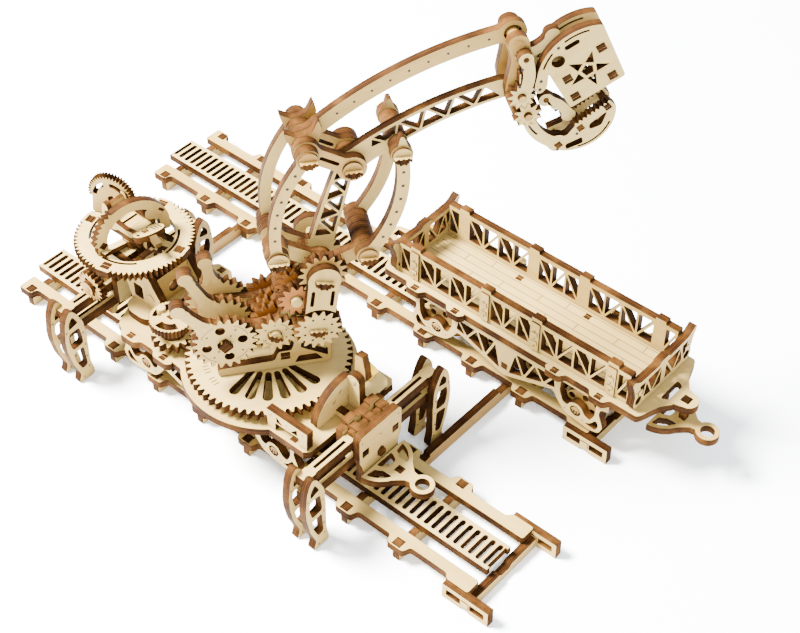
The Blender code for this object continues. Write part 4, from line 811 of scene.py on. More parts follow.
def track(prefix, centre_y, shift):
    left = FIRST_SLOT_X - (RACK_SLOTS - 0.6) * SLOT_PITCH
    right = FIRST_SLOT_X + 0.75 * SLOT_PITCH
    half = RACK_WIDTH / 2
    outline = [
        (left, -half), (right, -half), (right, -4.8), (right - 1.0, -4.8),
        (right - 1.0, 4.8), (right, 4.8), (right, half), (left, half), (left, 4.8), (left + 0.6, 4.8),
        (left + 0.6, -4.8), (left, -4.8),
    ]
    slots = [slot((FIRST_SLOT_X - n * SLOT_PITCH, 0), 9.8, 1.75) for n in range(RACK_SLOTS)]
    top = moved(shift, centre_y, RAIL_TOP - PLY / 2)
    build(prefix + "_rack", [ply(outline, slots, top)], "birch_pale")

    sleepers = [n * SLEEPER_PITCH for n in range(-5, 4)]
    shells = []
    for side in (-1, 1):
        rail = [(RAIL_LEFT, RAIL_INNER), (RAIL_RIGHT, RAIL_INNER), (RAIL_RIGHT, 17.8), (91.4, 17.8)]
        rail += [(90.0, RAIL_OUTER)]
        holes = []
        for x in reversed(sleepers):
            if x > sleepers[0]:
                rail += [
                    (x + 4.6, RAIL_OUTER), (x + 3.4, 19.0), (x - 3.4, 19.0), (x - 4.6, RAIL_OUTER),
                ]
            holes.append(slanted((x, side * 16.75), 3.4, 3.3, 0))
        rail += [(RAIL_LEFT + 7.4, RAIL_OUTER), (RAIL_LEFT + 6.0, 19.0), (RAIL_LEFT, 19.0)]
        shells.append(ply(rounded([(x, side * y) for x, y in rail], 0.9, 3), holes, top))
    for x in sleepers:
        shells.append(ply(sleeper_outline(18.2, True), (), across_at(x + shift, centre_y)))
    shells.append(ply(sleeper_outline(16.6, False), (), across_at(END_SLEEPER_X + shift, centre_y)))
    plate = both_sides([(1.6, 0.9), (1.6, 0.0), (9.6, 0.0), (9.6, 7.0)])
    windows = [rounded(box(x - 2.9, 2.4, x + 2.9, 5.0), 0.3, 2) for x in (-4.9, 4.9)]
    for side in (-1, 1):
        upright = moved(END_SLEEPER_X + shift, centre_y + side * 18.3, 0) @ FACING_NEAR
        shells.append(ply(rounded(plate, 0.3, 2), windows, upright))
        shells.append(ply(box(-1.5, 2.5, 1.5, 5.0), (), upright, PLY + 0.5))
    build(prefix + "_rail_frame", shells, "birch_face")


track("near", 0.0, 0.0)
track("far", TRACK_SPACING, FAR_TRACK_SHIFT)
for tie, tie_x in (("cross_tie_left", -85.5), ("cross_tie_right", 50.7)):
    board = [
        (12.1, 0), (69.4, 0), (69.4, 4.1), (60.7, 4.1), (60.7, 5.6), (20.8, 5.6), (20.8, 4.1), (12.1, 4.1),
    ]
    build(tie, [ply(rounded(board, 0.3, 2), (), across_at(tie_x, 0))], "birch_warm")
print("tracks:", counts["near_rack"], "faces in a rack")

# %% [markdown]
# ## Wheels
# A wheel is two discs, the larger one the flange, on a wooden axle. The right axle of the car also
# carries the drive cog that rolls in the slots of the rack.

# %% Wheels
def wheel_set(node, x, centre_y, half_length, cog=()):
    place = moved(x, centre_y, AXLE_Z) @ FACING_NEAR
    shells = [dowel((0, 0), AXLE_R, -half_length, half_length, place)]
    for side in (-1, 1):
        rim = lifted(place, side * (WHEEL_INNER - PLY / 2))
        tread = lifted(place, side * (WHEEL_INNER + (PLY - 0.1) / 2))
        spokes = [circle(polar(5.0, n * 1.2566), 1.25, 16) for n in range(5)]
        shells.append(ply(circle((0, 0), FLANGE_R, 48), spokes, rim))
        shells.append(ply(circle((0, 0), WHEEL_R, 48), spokes, tread, PLY - 0.1))
    build(node, shells + list(cog), "birch_warm")


def drive_cog():
    """Fourteen rounded teeth, turned so that they stand in the rack's slots."""
    place = moved(CAR_X + AXLE_OFFSET, 0, AXLE_Z) @ FACING_NEAR
    flank = ((6.2, 0.62), (7.4, 0.4), (8.0, 0.2))
    tooth_shape = [(r, -w) for r, w in flank] + [(8.1, 0.0)] + [(r, w) for r, w in flank[::-1]]
    offset = (CAR_X + AXLE_OFFSET - FIRST_SLOT_X) % SLOT_PITCH
    offset -= SLOT_PITCH if offset > SLOT_PITCH / 2 else 0
    roll_r = 14 * SLOT_PITCH / (2 * math.pi)
    points = []
    for tooth in range(14):
        middle = math.radians(tooth * 360 / 14 - 90) - offset / roll_r
        points += [polar(radius, middle + width / radius) for radius, width in tooth_shape]
    return ply(points, (), place)


wheel_set("wheel_set_left", CAR_X - AXLE_OFFSET, 0, 19.2)
wheel_set("wheel_set_right", CAR_X + AXLE_OFFSET, 0, 19.2, [drive_cog()])
wheel_set("wagon_wheels_left", WAGON_X - AXLE_OFFSET, TRACK_SPACING, 17.3)
wheel_set("wagon_wheels_right", WAGON_X + AXLE_OFFSET, TRACK_SPACING, 17.3)
print("wheels:", counts["wheel_set_left"], "faces on an axle")

# %% [markdown]
# ## Side frames
# The side frame over the wheels is one lacy sheet: two arches with a pierced lobe beyond each and a
# belly truss between, which is why it is drawn as half an outline and mirrored.

# %% Side frames
def side_frame(node, x, plane_y, outward):
    top = DECK_TOP - PLY - GAP
    place = moved(x, plane_y, 0) @ FACING_NEAR
    half = [
        (0, 10.6), (11.0, 14.4), (21.8, 18.2), (24.4, 14.2), (27.4, 11.0), (33.0, 9.6), (38.4, 9.0),
        (42.4, 10.0), (43.9, 13.6), (41.6, 19.4), (42.2, 22.0), (45.5, 22.6), (45.5, top),
    ]
    outline = half + [(-px, pz) for px, pz in reversed(half[1:])]
    arch = [
        (24.9, 24.9), (24.7, 20.0), (26.4, 15.6), (28.2, 15.0), (29.6, 17.4), (32.0, 18.3),
        (34.4, 17.4), (35.8, 15.0), (38.2, 14.0), (39.9, 17.4), (40.3, 24.9),
    ]
    lobe = [(36.4, 11.2), (40.9, 10.8), (42.0, 13.4), (41.0, 15.6), (38.6, 12.4)]
    belly = [
        (1.6, 12.6), (4.4, 24.9), (8.8, 15.2), (13.2, 24.9), (17.6, 18.4), (22.0, 24.9), (23.0, 19.4),
    ]
    shapes = [rounded(arch, 0.9, 3), circle((AXLE_OFFSET, AXLE_Z), 2.2, 22), rounded(lobe, 0.8, 3)]
    shapes += truss(belly, 0.5, 0.5)
    holes = []
    shells = []
    for side in (-1, 1):
        holes += [sided(shape, side) for shape in shapes]
        axle_at = (side * AXLE_OFFSET, AXLE_Z)
        shells += peg_end(axle_at, place, outward * (PLY / 2 - 1.0), outward, PIN_R, 0, 1.3)
        specks = [(side * 27.4, 13.0), (side * 35.4, 12.0), (side * 11.0, 15.9)]
        shells += dots(specks, place, outward * PLY / 2, 0.32)
    shells.append(ply(rounded(outline, 1.3, 4), holes, place))
    if outward > 0:
        shells += square_peg(0, 15.6, place, PLY / 2, 2.6)
    build(node, shells, "birch_face")


side_frame("side_frame_near", CAR_X, -17.7, 1)
side_frame("side_frame_far", CAR_X, 17.7, -1)
side_frame("wagon_frame_near", WAGON_X, TRACK_SPACING - 15.8, 1)
side_frame("wagon_frame_far", WAGON_X, TRACK_SPACING + 15.8, -1)
print("side frames:", counts["side_frame_near"], "faces in a side frame")

# %% [markdown]
# ## The deck
# The deck bulges round the turntable: its long sides are straight stretches with lugs for the side
# frames' tenons, joined by one arc, and the far side mirrors the near one.

# %% Deck
def deck():
    place = moved(CAR_X, 0, DECK_TOP - PLY / 2)
    middle = SLEW_X - CAR_X
    bulge_r = 31.2
    swing = math.degrees(math.asin(DECK_HALF / bulge_r))
    lower = [(-46.2, -12.0), (-41.7, -21.6)]
    for lug in (-34.0, -17.5):
        lower += [
            (lug - 5.0, -DECK_HALF), (lug - 3.4, -24.8), (lug + 3.4, -24.8), (lug + 5.0, -DECK_HALF),
        ]
    lower = rounded(lower, 1.2, 3)
    lower += arc((middle, 0), bulge_r, 180 + swing, 360 - swing, 28)
    lower += [(49.7, -DECK_HALF), (51.7, -20.6)]
    outline = lower + upside_down(lower)
    holes = [circle((middle, 0), 3.6, 32)]
    holes += [slot((-27.0, y), 9.0, 1.6, 0) for y in (-15.0, 15.0)]
    shells = [ply(outline, holes, place)]
    for lug in (-34.0, -17.5):
        for side in (-1, 1):
            shells += square_peg(lug, side * 22.6, place, PLY / 2, 2.6)
    shells += square_peg(43.6, -20.0, place, PLY / 2, 2.6)
    build("deck", shells, "birch_face")


deck()
print("deck:", counts["deck"], "faces")

# %% [markdown]
# ## Buffer blocks
# A notched bumper, a crest board and short fillers between them leave channels in which the
# outriggers' bars slide. The same block is built at both ends, turned outward.

# %% Buffers
def buffers():
    bar_low, low_top, low_bottom = 29.1, 25.5, 21.3
    half = [
        (4.4, 17.8), (5.8, 15.6), (6.8, 13.2), (8.2, 12.4), (9.7, 13.4), (9.5, 16.0), (8.9, 19.0),
        (9.7, 22.0), (10.7, 24.4), (10.7, 35.0), (9.5, 36.6),
    ]
    for end, name in ((1, "buffer_right"), (-1, "buffer_left")):
        inner, outer = CAR_X + end * 55.2, CAR_X + end * 62.8
        outside = across_at(outer, 0)
        windows = [rounded(box(x - 1.5, 26.2, x + 1.5, 29.2), 0.2, 2) for x in (-7.6, 7.6)]
        windows.append(rounded([(-1.6, 21.0), (1.6, 21.0), (1.6, 23.4), (0, 24.8), (-1.6, 23.4)], 0.2, 2))
        notches = both_sides(half)
        shells = [ply(rounded(notches, 0.6, 3), windows, outside)]
        crest = [(10.7, 24.6), (10.7, 35.2), (7.8, 35.2), (7.8, 37.4), (3.2, 37.4), (3.2, 36.2)]
        crest = crest[::-1] + [(-x, z) for x, z in crest]
        shells.append(ply(rounded(crest, 0.4, 3), (), across_at(inner, 0)))
        middle = across_at((inner + outer) / 2, 0)
        fillers = ((33.6, 35.4, 9.4), (low_top + GAP, bar_low - GAP, 8.7), (18.6, low_bottom - GAP, 6.0))
        for bottom, top, width in fillers:
            shells.append(ply(box(-width, bottom, width, top), (), middle, 2.2))
        for x in (-6.4, 0.0, 6.4):
            for low, high in ((25.9, 28.7), (33.7, 36.4)):
                shells.append(ply(box(x - 1.4, low, x + 1.4, high), (), middle, 7.4))
        for x in (-7.6, 7.6):
            shells.append(tenon(box(x - 1.3, 26.4, x + 1.3, 29.0), outside, PLY + 0.5))
        peg = rounded([(-1.4, 21.1), (1.4, 21.1), (1.4, 23.2), (0, 24.4), (-1.4, 23.2)], 0.2, 2)
        shells.append(tenon(peg, across_at(outer + end * 1.2, 0), PLY))
        for x in (-8.4, 8.4):
            shells.append(ply(circle((x, 15.4), 0.9, 14), (), outside, PLY + 0.3))
        shells += dots([(x, 33.4) for x in (-9.2, 9.2)] + [(0.0, 31.0)], outside, end * PLY / 2, 0.4)
        root = CAR_X + end * 43.0
        beam = across_at((root + inner) / 2, 0)
        shells.append(ply(box(-5.0, 23.8, 5.0, 26.2), (), beam, abs(inner - root)))
        build(name, shells, "birch_face")


buffers()
print("buffers:", counts["buffer_right"], "faces each")

# %% [markdown]
# ## Couplers
# The coupler is an anchor-shaped hook with two crescent slots, a square hole and a ring. The wagon
# has the same hook, hung under its floor on a square pin.

# %% Couplers
def coupler_outline():
    half = arc((0, 0), 11.2, -86, -30, 12) + [(11.4, -4.0), (13.0, -2.6), (14.6, -2.3)]
    ring = arc((18.6, 0), 4.3, -148, 148, 32)
    body = half + ring + upside_down(half)
    holes = [circle((18.6, 0), 2.5, 32)]
    for side in (-1, 1):
        crescent = arc((0, 0), 9.5, 26, 79, 12) + arc((0.6, 0.0), 6.0, 72, 46, 6)
        holes.append([(x, side * y) for x, y in rounded(crescent, 0.5, 3)])
    holes.append(rounded([(1.6, -3.8), (4.9, -2.2), (4.9, 2.2), (1.6, 3.8)], 0.8, 3))
    return body, holes


def couplers():
    body, holes = coupler_outline()
    place = moved(46.8 + 0.63, 0, 17.6)
    pin_hole = box(7.3, -1.4, 10.1, 1.4)
    shells = [ply(body, holes + [pin_hole], place, PLY, 90)]
    shells += square_peg(8.7, 0, place, PLY / 2 - 0.5, 2.7)
    build("coupler", shells, "birch_pale")
    hook_top = DECK_TOP - PLY - 6.0
    hook = moved(WAGON_X + 56.5, TRACK_SPACING, hook_top - PLY / 2)
    shells = [ply(body, holes, hook, PLY, 90)]
    high = DECK_TOP - hook_top + PLY / 2 + 0.6
    middle = lifted(hook, (high - PLY / 2) / 2)
    shells.append(tenon(box(7.45, -1.25, 9.95, 1.25), middle, high + PLY / 2))
    build("wagon_coupler", shells, "birch_face")


couplers()
print("coupler:", counts["coupler"], "faces")

# %% [markdown]
# ## The bench
# A bench on two legs stands along the near edge of the deck: one sheet with two small gussets left
# open under the seat.

# %% Bench
def bench():
    top = 38.4
    outline = [
        (32.6, BASE), (36.2, BASE), (36.2, BASE + 3.6), (46.9, BASE + 3.6), (46.9, BASE), (50.5, BASE),
        (51.0, top), (32.1, top),
    ]
    holes = [
        rounded([(36.9, BASE + 4.4), (39.6, BASE + 4.4), (36.9, BASE + 7.0)], 0.3, 2),
        rounded([(46.2, BASE + 4.4), (46.2, BASE + 7.0), (43.5, BASE + 4.4)], 0.3, 2),
    ]
    place = moved(CAR_X, -20.0, 0) @ FACING_NEAR
    shells = [ply(rounded(outline, 0.3, 3), holes, place)]
    shells += dots([(34.4, 36.6), (41.6, 36.2), (48.8, 36.6)], place, PLY / 2, 0.35)
    build("bench", shells, "birch_face")


bench()
print("bench:", counts["bench"], "faces")

# %% [markdown]
# ## Desk, guard and brake
# The desk is two sloping cheeks with a top laid over them and a small painted block on it. A curved
# guard stands behind it, and the brake lever turns on its own post.

# %% Controls
def controls():
    post_x, pivot_z = 49.0, BASE + 12.6
    guard_plane = across_at(CAR_X + 45.2, 0)
    guard = [
        (-12.6, BASE), (6.2, BASE), (6.2, BASE + 12.0), (4.0, BASE + 13.6), (0.0, BASE + 13.8),
        (-5.0, BASE + 12.4), (-9.4, BASE + 9.2), (-12.2, BASE + 5.0),
    ]
    guard = rounded(guard, 3.2, 6)
    post = [(post_x - 3.0, BASE), (post_x + 3.0, BASE), (post_x + 2.8, BASE + 9.5)]
    post += arc((post_x, pivot_z), 2.8, -10, 190, 14) + [(post_x - 2.8, BASE + 9.5)]
    cheek = [(43.2, BASE), (52.4, BASE), (52.4, BASE + 2.4), (43.2, BASE + 6.0)]
    tilt = Matrix.Rotation(math.atan2(3.6, 9.2), 4, "Y")
    slope = moved(CAR_X + 48.6, 11.9, BASE + 5.4) @ tilt
    desk = rounded([(-5.3, -5.4), (5.3, -5.4), (5.3, 3.6), (3.5, 5.4), (-5.3, 5.4)], 0.5, 3)
    across = moved(CAR_X, 0, 0) @ FACING_NEAR
    shells = [
        ply(post, [circle((post_x, pivot_z), 1.3, 16)], lifted(across, -4.9)),
        ply(rounded(guard, 0.3, 2), (), guard_plane),
        ply(cheek, (), lifted(across, -8.0)),
        ply(cheek, (), lifted(across, -14.6)),
        ply(desk, (), slope, 2.4, 90),
        ply(box(3.0, BASE + 2.0, 14.0, BASE + 5.2), (), guard_plane),
        dowel((post_x, pivot_z), 1.3, -11.0, -3.2, across),
        ply(box(post_x - 3.0, BASE, post_x + 3.0, BASE + 2.4), (), lifted(across, 1.6), PLY),
    ]
    for spot in ((-0.6, 39.4), (-3.6, 36.6)):
        shells.append(mark(slanted(spot, 1.7, 0.5, 34), guard_plane, PLY / 2))
    shells.append(mark([(-4.0, 3.0), (-1.6, 3.0), (-4.0, 5.0)], slope, 1.2))
    build("control_box", shells, "birch_pale")
    block = ply(rounded(box(-2.4, -2.2, 2.4, 2.2), 0.5, 3), (), slope @ moved(-2.4, 1.4, 2.75), 3.0)
    knob = bpy.data.objects.new("painted_block", block)
    bpy.context.scene.collection.objects.link(knob)
    block.materials.append(yellow_paint())
    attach(knob, "car")
    pivot = across @ moved(post_x, pivot_z, -8.4)
    handle = arc((0, 0), 2.8, -150, 30, 14) + [(2.4, 3.4), (1.2, 9.6), (-2.2, 9.2), (-2.4, 3.0)]
    shells = [ply(rounded(handle, 0.4, 3), [circle((0, 0), 1.5, 16)], pivot, PLY, 98)]
    build("brake_lever", shells, "birch_warm")


def yellow_paint():
    material = bpy.data.materials.new("yellow_paint")
    material.use_nodes = True
    tree = material.node_tree
    shader = tree.nodes["Principled BSDF"]
    where = tree.nodes.new("ShaderNodeTexCoord")
    brush = noise(tree, where.outputs["Object"], 900.0, 4.0, 0.6, (1, 3, 1))
    worn = spread(tree, noise(tree, where.outputs["Object"], 420.0, 3.0), 0.6, 0.72)
    colour = mixed(tree, brush, (0.60, 0.38, 0.006, 1), (0.46, 0.27, 0.005, 1))
    colour = mixed(tree, calc(tree, "MULTIPLY", worn, 0.6), colour, (0.50, 0.30, 0.12, 1))
    tree.links.new(colour, shader.inputs["Base Color"])
    tree.links.new(spread(tree, brush, 0, 1, 0.35, 0.55), shader.inputs["Roughness"])
    return material


controls()
print("controls:", counts["control_box"], "faces")

# %% [markdown]
# ## Outriggers
# Four folding feet. Each is a pair of bowed, pierced plates on two slotted bars that slide in the
# buffer block. The outline is a few points, eased into one smooth bow.

# %% Outriggers
def outrigger(node, end, side):
    outline = [
        (-27.6, 7.4), (-26.5, 2.2), (-27.0, 0.4), (-34.4, 0.4), (-32.8, 4.2), (-35.5, 11.2),
        (-37.0, 18.9), (-37.2, 23.4), (-36.2, 31.4), (-34.9, 34.6), (-33.1, 36.5), (-31.0, 34.6),
        (-29.6, 31.7), (-28.0, 28.0), (-27.5, 20.0),
    ]
    windows = [
        rounded([(-30.4, 29.2), (-32.4, 33.2), (-34.4, 30.8), (-34.6, 28.2)], 0.8, 3),
        rounded([(-29.4, 18.4), (-34.2, 17.8), (-35.4, 22.6), (-34.8, 26.2), (-30.2, 26.4)], 1.2, 3),
        rounded([(-29.2, 7.2), (-31.6, 6.4), (-33.6, 11.0), (-34.6, 15.6), (-29.8, 16.4)], 1.0, 3),
    ]
    specks = [(-28.9, 23.0), (-28.7, 17.0), (-28.9, 11.0), (-28.6, 5.6), (-35.9, 27.4), (-31.6, 2.0)]
    outline, specks = sided(outline, -side), sided(specks, -side)
    windows = [sided(window, -side) for window in windows]
    shells = []
    for x in (62.8, 55.2):
        place = across_at(CAR_X + end * x, 0)
        shells.append(ply(rounded(outline, 1.4, 4), windows, place, PLY, 90))
        shells += dots(specks, place, end * PLY / 2, 0.42)
        shells += dots(specks, place, -end * PLY / 2, 0.42)
    thin, wide = 2.0, 2.35
    bar = [
        (thin, -6.6), (thin, -28.4), (wide, -28.4), (wide, -33.4), (-wide, -33.4), (-wide, -28.4),
        (-thin, -28.4), (-thin, -6.6),
    ]
    groove = box(-0.55, -27.0, 0.55, -12.0)
    bar, groove = ([(x, -side * y) for x, y in shape] for shape in (bar, groove))
    for middle in (31.2, 23.4):
        place = moved(CAR_X + end * 59.0, 0, middle)
        shells.append(ply(bar, [groove], place, 4.2, 90))
    build(node, shells, "birch_face")


for end, end_name in ((1, "right"), (-1, "left")):
    for side, side_name in ((-1, "near"), (1, "far")):
        outrigger("outrigger_%s_%s" % (end_name, side_name), end, side)
print("outriggers:", counts["outrigger_right_near"], "faces each")

# %% [markdown]
# ## The cabin
# A ring gear turns on a pedestal of two column plates. Its rim has four smooth lands with fine teeth
# between them, and a square tenon stands in each land.

# %% Pedestal and ring gear
def pedestal():
    ring_bottom = RING_TOP - PLY
    foot = [(-8, -13), (-4, -16.5), (4, -16.5), (8, -13), (6.6, 0)]
    foot = rounded(foot + [(-x, -y) for x, y in foot], 2.4, 4)
    column = [(-45.6, BASE + 2.0), (-30.2, BASE + 2.0), (-30.2, BASE + 9.0), (-33.0, BASE + 13.0)]
    column += [(-36.0, ring_bottom - GAP), (-57.0, ring_bottom - GAP), (-57.0, ring_bottom - 4.2)]
    column += [(-51.0, ring_bottom - 4.4), (-48.5, BASE + 12.0)]
    window = rounded(box(-44.0, BASE + 5.0, -39.5, BASE + 11.0), 0.8, 3)
    peg = turned(box(-1.5, -1.5, 1.5, 1.5), 45, (-35.6, BASE + 8.0))
    shells = [ply(foot, (), moved(CAR_X - 37.8, 0, BASE + PLY / 2))]
    for y in (-9.0, 9.0):
        plane = moved(CAR_X, y, 0) @ FACING_NEAR
        shells.append(ply(rounded(column, 0.8, 3), [window], plane, PLY, 90))
        shells.append(ply(peg, (), plane, PLY + 0.4))
    cross = box(-8.6, BASE + 2.0, 8.6, ring_bottom - 3.0)
    shells.append(ply(cross, [circle((0, BASE + 8.0), 2.4)], across_at(CAR_X - 36.0, 0)))
    bridge = moved(CAR_X - 53.3, 0, ring_bottom - 2 * GAP - PLY / 2)
    shells.append(ply(both_sides([(3.6, -9.6), (3.6, 9.6)]), (), bridge, PLY, 90))
    shells.append(dowel((CABIN_X, 0), 2.6, ring_bottom - 2.0, RING_TOP - 0.4, FLAT))
    build("pedestal", shells, "birch_face")


def ring_gear():
    place = moved(CABIN_X, 0, RING_TOP - PLY / 2)
    holes = [circle((0, 0), 14.6, 64)]
    for angle in (0, 90, 180, 270):
        holes.append(arc_slot((0, 0), 15.9, 0.8, angle + 2, angle + 50, 14))
    rim = []
    for start in (15, 105, 195, 285):
        land = [turned([(21.6, y)], start)[0] for y in (-2.6, 2.6)]
        teeth = []
        for index in range(56):
            turn = start + 9 + 72 * index / 55
            reach = 21.1 + (-0.95, 0.0, 0.8, 0.0)[index % 4]
            teeth.append(turned([(reach, 0)], turn)[0])
        rim += land + teeth
    shells = [ply(rim, holes, place)]
    specks = [turned([(19.4, 0)], angle)[0] for angle in range(60, 200, 9) if angle % 90 > 24]
    shells += dots(specks, place, PLY / 2, 0.32)
    for angle in (20, 140, 260):
        spoke = turned(box(2.9, -1.5, 15.0, 1.5), angle)
        shells.append(ply(spoke, (), lifted(place, -0.2), 2.2, angle))
    shells.append(ply(circle((0, 0), 4.6, 32), [circle((0, 0), 3.0, 24)], place))
    for angle in (15, 105, 195, 285):
        centre = turned([(18.6, 0)], angle)[0]
        shells += square_peg(centre[0], centre[1], place, PLY / 2, 3.4, angle + 90, 4)
    build("ring_gear", shells, "birch_pale")


pedestal()
ring_gear()
print("ring gear:", counts["ring_gear"], "faces")

# %% [markdown]
# ## Seat, arches and console
# Two toothed arches stand on the ring, their teeth stepped off along an arc. The console is a small
# oval board with dots and dashes, and a pinion under the ring meshes with it.

# %% Seat and pinion
def toothed_arch(radius, rise, band, first, last, pitch):
    """An upright arch with legs; its outer edge carries teeth between two angles."""
    outer, angle = [], 180.0
    step = pitch / radius * 180 / math.pi / 4
    while angle > 0:
        lift = (-0.2, 0.6, 1.25, 0.6)[len(outer) % 4] if last < angle < first else 0.0
        x, y = polar(radius + lift, math.radians(angle))
        outer.append((x, rise + y))
        angle -= step
    outer += [(radius, rise), (radius, 0)]
    inner = arc((0, rise), radius - band, 0, 180, 28)
    return [(-radius, 0)] + outer + [(radius - band, 0)] + inner + [(band - radius, 0)]


def seat():
    """The seat, its console and the two toothed arches that stand on the ring."""
    base = moved(CABIN_X, 0, RING_TOP + GAP)
    span = base @ moved(1.9, -2.3, 0) @ Matrix.Rotation(math.radians(74.0), 4, "Z") @ FACING_NEAR
    arch = toothed_arch(14.4, 3.4, 4.0, 186, 122, 2.2)
    pegs = ((-11.9, 3.4), (10.9, 9.2))
    shells = [ply(arch, [slanted(peg, 2.4, 2.4, 45) for peg in pegs], span, PLY, 90)]
    for x, y in pegs:
        shells += square_peg(x, y, span, PLY / 2 - 0.5, 2.4, 45)
    hook = rounded([(9.0, 5.2), (4.8, 8.6), (5.2, 11.8), (8.2, 12.2), (12.6, 8.0)], 1.2, 4)
    shells.append(ply(hook, (), span, PLY - 0.04, 90))
    disc_place = base @ moved(-13.6, 3.0, 9.2) @ Matrix.Rotation(math.radians(22.0), 4, "Z") @ FACING_NEAR
    rim = [(8.2, -9.0)]
    for index in range(97):
        reach = 8.2 + (-0.65, 0.05, 0.75, 0.05)[index % 4]
        rim.append(polar(reach, math.radians(-12 + 204 * index / 96)))
    rim.append((-8.2, -9.0))
    slits = [arc_slot((0, -1.2), 6.2, 1.6, 22, 88, 12), arc_slot((0, -1.2), 6.2, 1.6, 112, 172, 10)]
    slits.append(circle((0.6, -1.6), 1.7, 22))
    shells.append(ply(rim, slits, disc_place, PLY, 0))
    shells.append(ply(box(-9.4, -4.6, 8.4, 4.6), (), lifted(base, 1.6), 2.2))
    side = rounded([
        (-8.6, 2.6), (-10.0, 9.0), (-9.0, 13.4), (-6.8, 13.0), (-5.8, 9.2), (-3.0, 7.0), (2.4, 6.4),
        (5.6, 7.2), (6.6, 5.6), (4.6, 3.8), (-2.0, 4.2), (-4.2, 2.6)], 1.3, 5)
    for y in (-4.4, 4.4):
        shells.append(ply(side, (), base @ moved(0, y, 0) @ FACING_NEAR, 2.0))
    for x, z, lean in ((-8.4, 10.2, 80), (-7.4, 6.6, 66), (-3.0, 5.6, 14), (0.6, 5.4, 0), (4.2, 5.6, -8)):
        slat = base @ moved(x, 0, z) @ Matrix.Rotation(math.radians(-lean), 4, "Y")
        shells.append(ply(rounded(box(-1.7, -3.4, 1.7, 3.4), 0.5, 3), (), slat, 1.4, 90))
    console = base @ moved(9.4, -0.7, 6.0) @ Matrix.Rotation(math.radians(-14), 4, "Z")
    console = console @ Matrix.Rotation(math.radians(-16), 4, "Y")
    board = [
        (-3.4, -3.6), (-1.2, -6.2), (2.2, -5.8), (3.4, -2.0), (3.4, 2.4), (2.0, 5.8), (-1.4, 6.0),
        (-3.4, 3.4),
    ]
    shells.append(ply(rounded(board, 2.0, 5), [circle((0.4, -4.4), 0.65, 14)], console, 2.4, 90))
    shells += dots([(-2.2, -3.0), (-1.4, -4.4), (-2.6, -1.2), (-2.4, 0.6), (1.8, -4.6)], console, 1.2, 0.36)
    shells += [mark(slanted((0.2, y), 3.2, 0.5, 4), console, 1.2) for y in (1.9, 3.1, 4.3)]
    shells += square_peg(-0.2, -1.2, console, 1.2, 2.2)
    lever = console @ moved(3.4, -0.2, -0.6) @ Matrix.Rotation(math.radians(24), 4, "Y")
    shells.append(ply(rounded(box(-1.2, -1.3, 4.0, 1.3), 0.4, 3), (), lever, 2.0, 0, edge=0.85))
    shells.append(ply(box(-1.6, 0.6, 1.6, 4.6), (), base @ moved(8.8, -0.7, 0) @ FACING_NEAR, 5.0))
    for x, y in ((-13.4, -2.0), (0.2, -14.2), (3.6, 9.4)):
        foot = base @ moved(x, y, 0.9)
        shells.append(ply(rounded(box(-2.0, -1.6, 2.0, 1.6), 0.3, 2), (), foot, 1.6))
    build("seat_cradle", shells, "birch_face")


def cabin_pinion():
    height = RING_TOP - PLY - GAP - pitch_radius(12) - MODULE
    place = moved(CABIN_X, 0, height) @ FACING_NEAR
    gear_y = pitch_radius(44) + 0.4
    shells = [dowel((0, 0), AXLE_R, 6.0, gear_y + 3.4, place)]
    holes = [circle(polar(3.1, angle), 0.75, 12) for angle in (0.5, 2.07, 3.64, 5.21)]
    shells.append(ply(toothed(18, MODULE * 2 / 3), holes, lifted(place, gear_y)))
    shells.append(ply(circle((0, 0), 2.9, 28), (), lifted(place, gear_y + 2.2), 1.6))
    build("cabin_pinion", shells, "birch_warm")


seat()
cabin_pinion()
print("cabin:", counts["seat_cradle"], "faces in the seat")

# %% [markdown]
# ## The turret
# The 60-tooth slewing gear has a fan of six round-ended slots under the arm, and a few plain tick
# marks engraved near its rim. The axles of the middle and idler gears follow from their neighbours.

# %% Slewing gear and gear axles
def slewing_gear():
    place = moved(SLEW_X, 0, SLEW_TOP - PLY / 2)
    slots = []
    for index in range(6):
        angle = -80 + index * 16.5
        fan = arc((10.4, 0), 1.0, 94, 266, 6) + arc((21.0, 0), 1.8, -86, 86, 10)
        slots.append(turned(fan, angle))
    shells = [ply(toothed(60, MODULE), slots, place, PLY, 53)]
    for angle in (-122, -118, -114, -106, -102, -98):
        middle = turned([(22.6, 0)], angle)[0]
        shells.append(mark(slanted(middle, 2.2, 0.4, angle), place, PLY / 2))
    shells.append(ply(circle((0, 0), 9.0, 40), (), moved(SLEW_X, 0, BASE + 1.0), 2.0))
    shells.append(dowel((0, 0), 3.0, DECK_TOP - PLY - 1.0, DECK_TOP + 1.0, moved(SLEW_X, 0, 0)))
    build("slewing_gear", shells, "birch_pale")


def gear_axes():
    mid = touching_centre(
        LEVER_AXIS, pitch_radius(22) + pitch_radius(14) + 0.05,
        DOTTED_AXIS, pitch_radius(14) + pitch_radius(16) + 0.05, -1,
    )
    idler = touching_centre(
        DOTTED_AXIS, pitch_radius(12) + pitch_radius(16) + 0.05,
        SHOULDER, pitch_radius(12) + pitch_radius(16) + 0.05, 1,
    )
    return mid, idler


MID_AXIS, IDLER_AXIS = gear_axes()
slewing_gear()
print("slewing gear:", counts["slewing_gear"], "faces")

# %% [markdown]
# ## The turret's frames
# Two truss frames stand on the slewing gear and carry all the axles. The near one is wider at the
# post and shows the axles' square and half-round ends; the far one has plain caps.

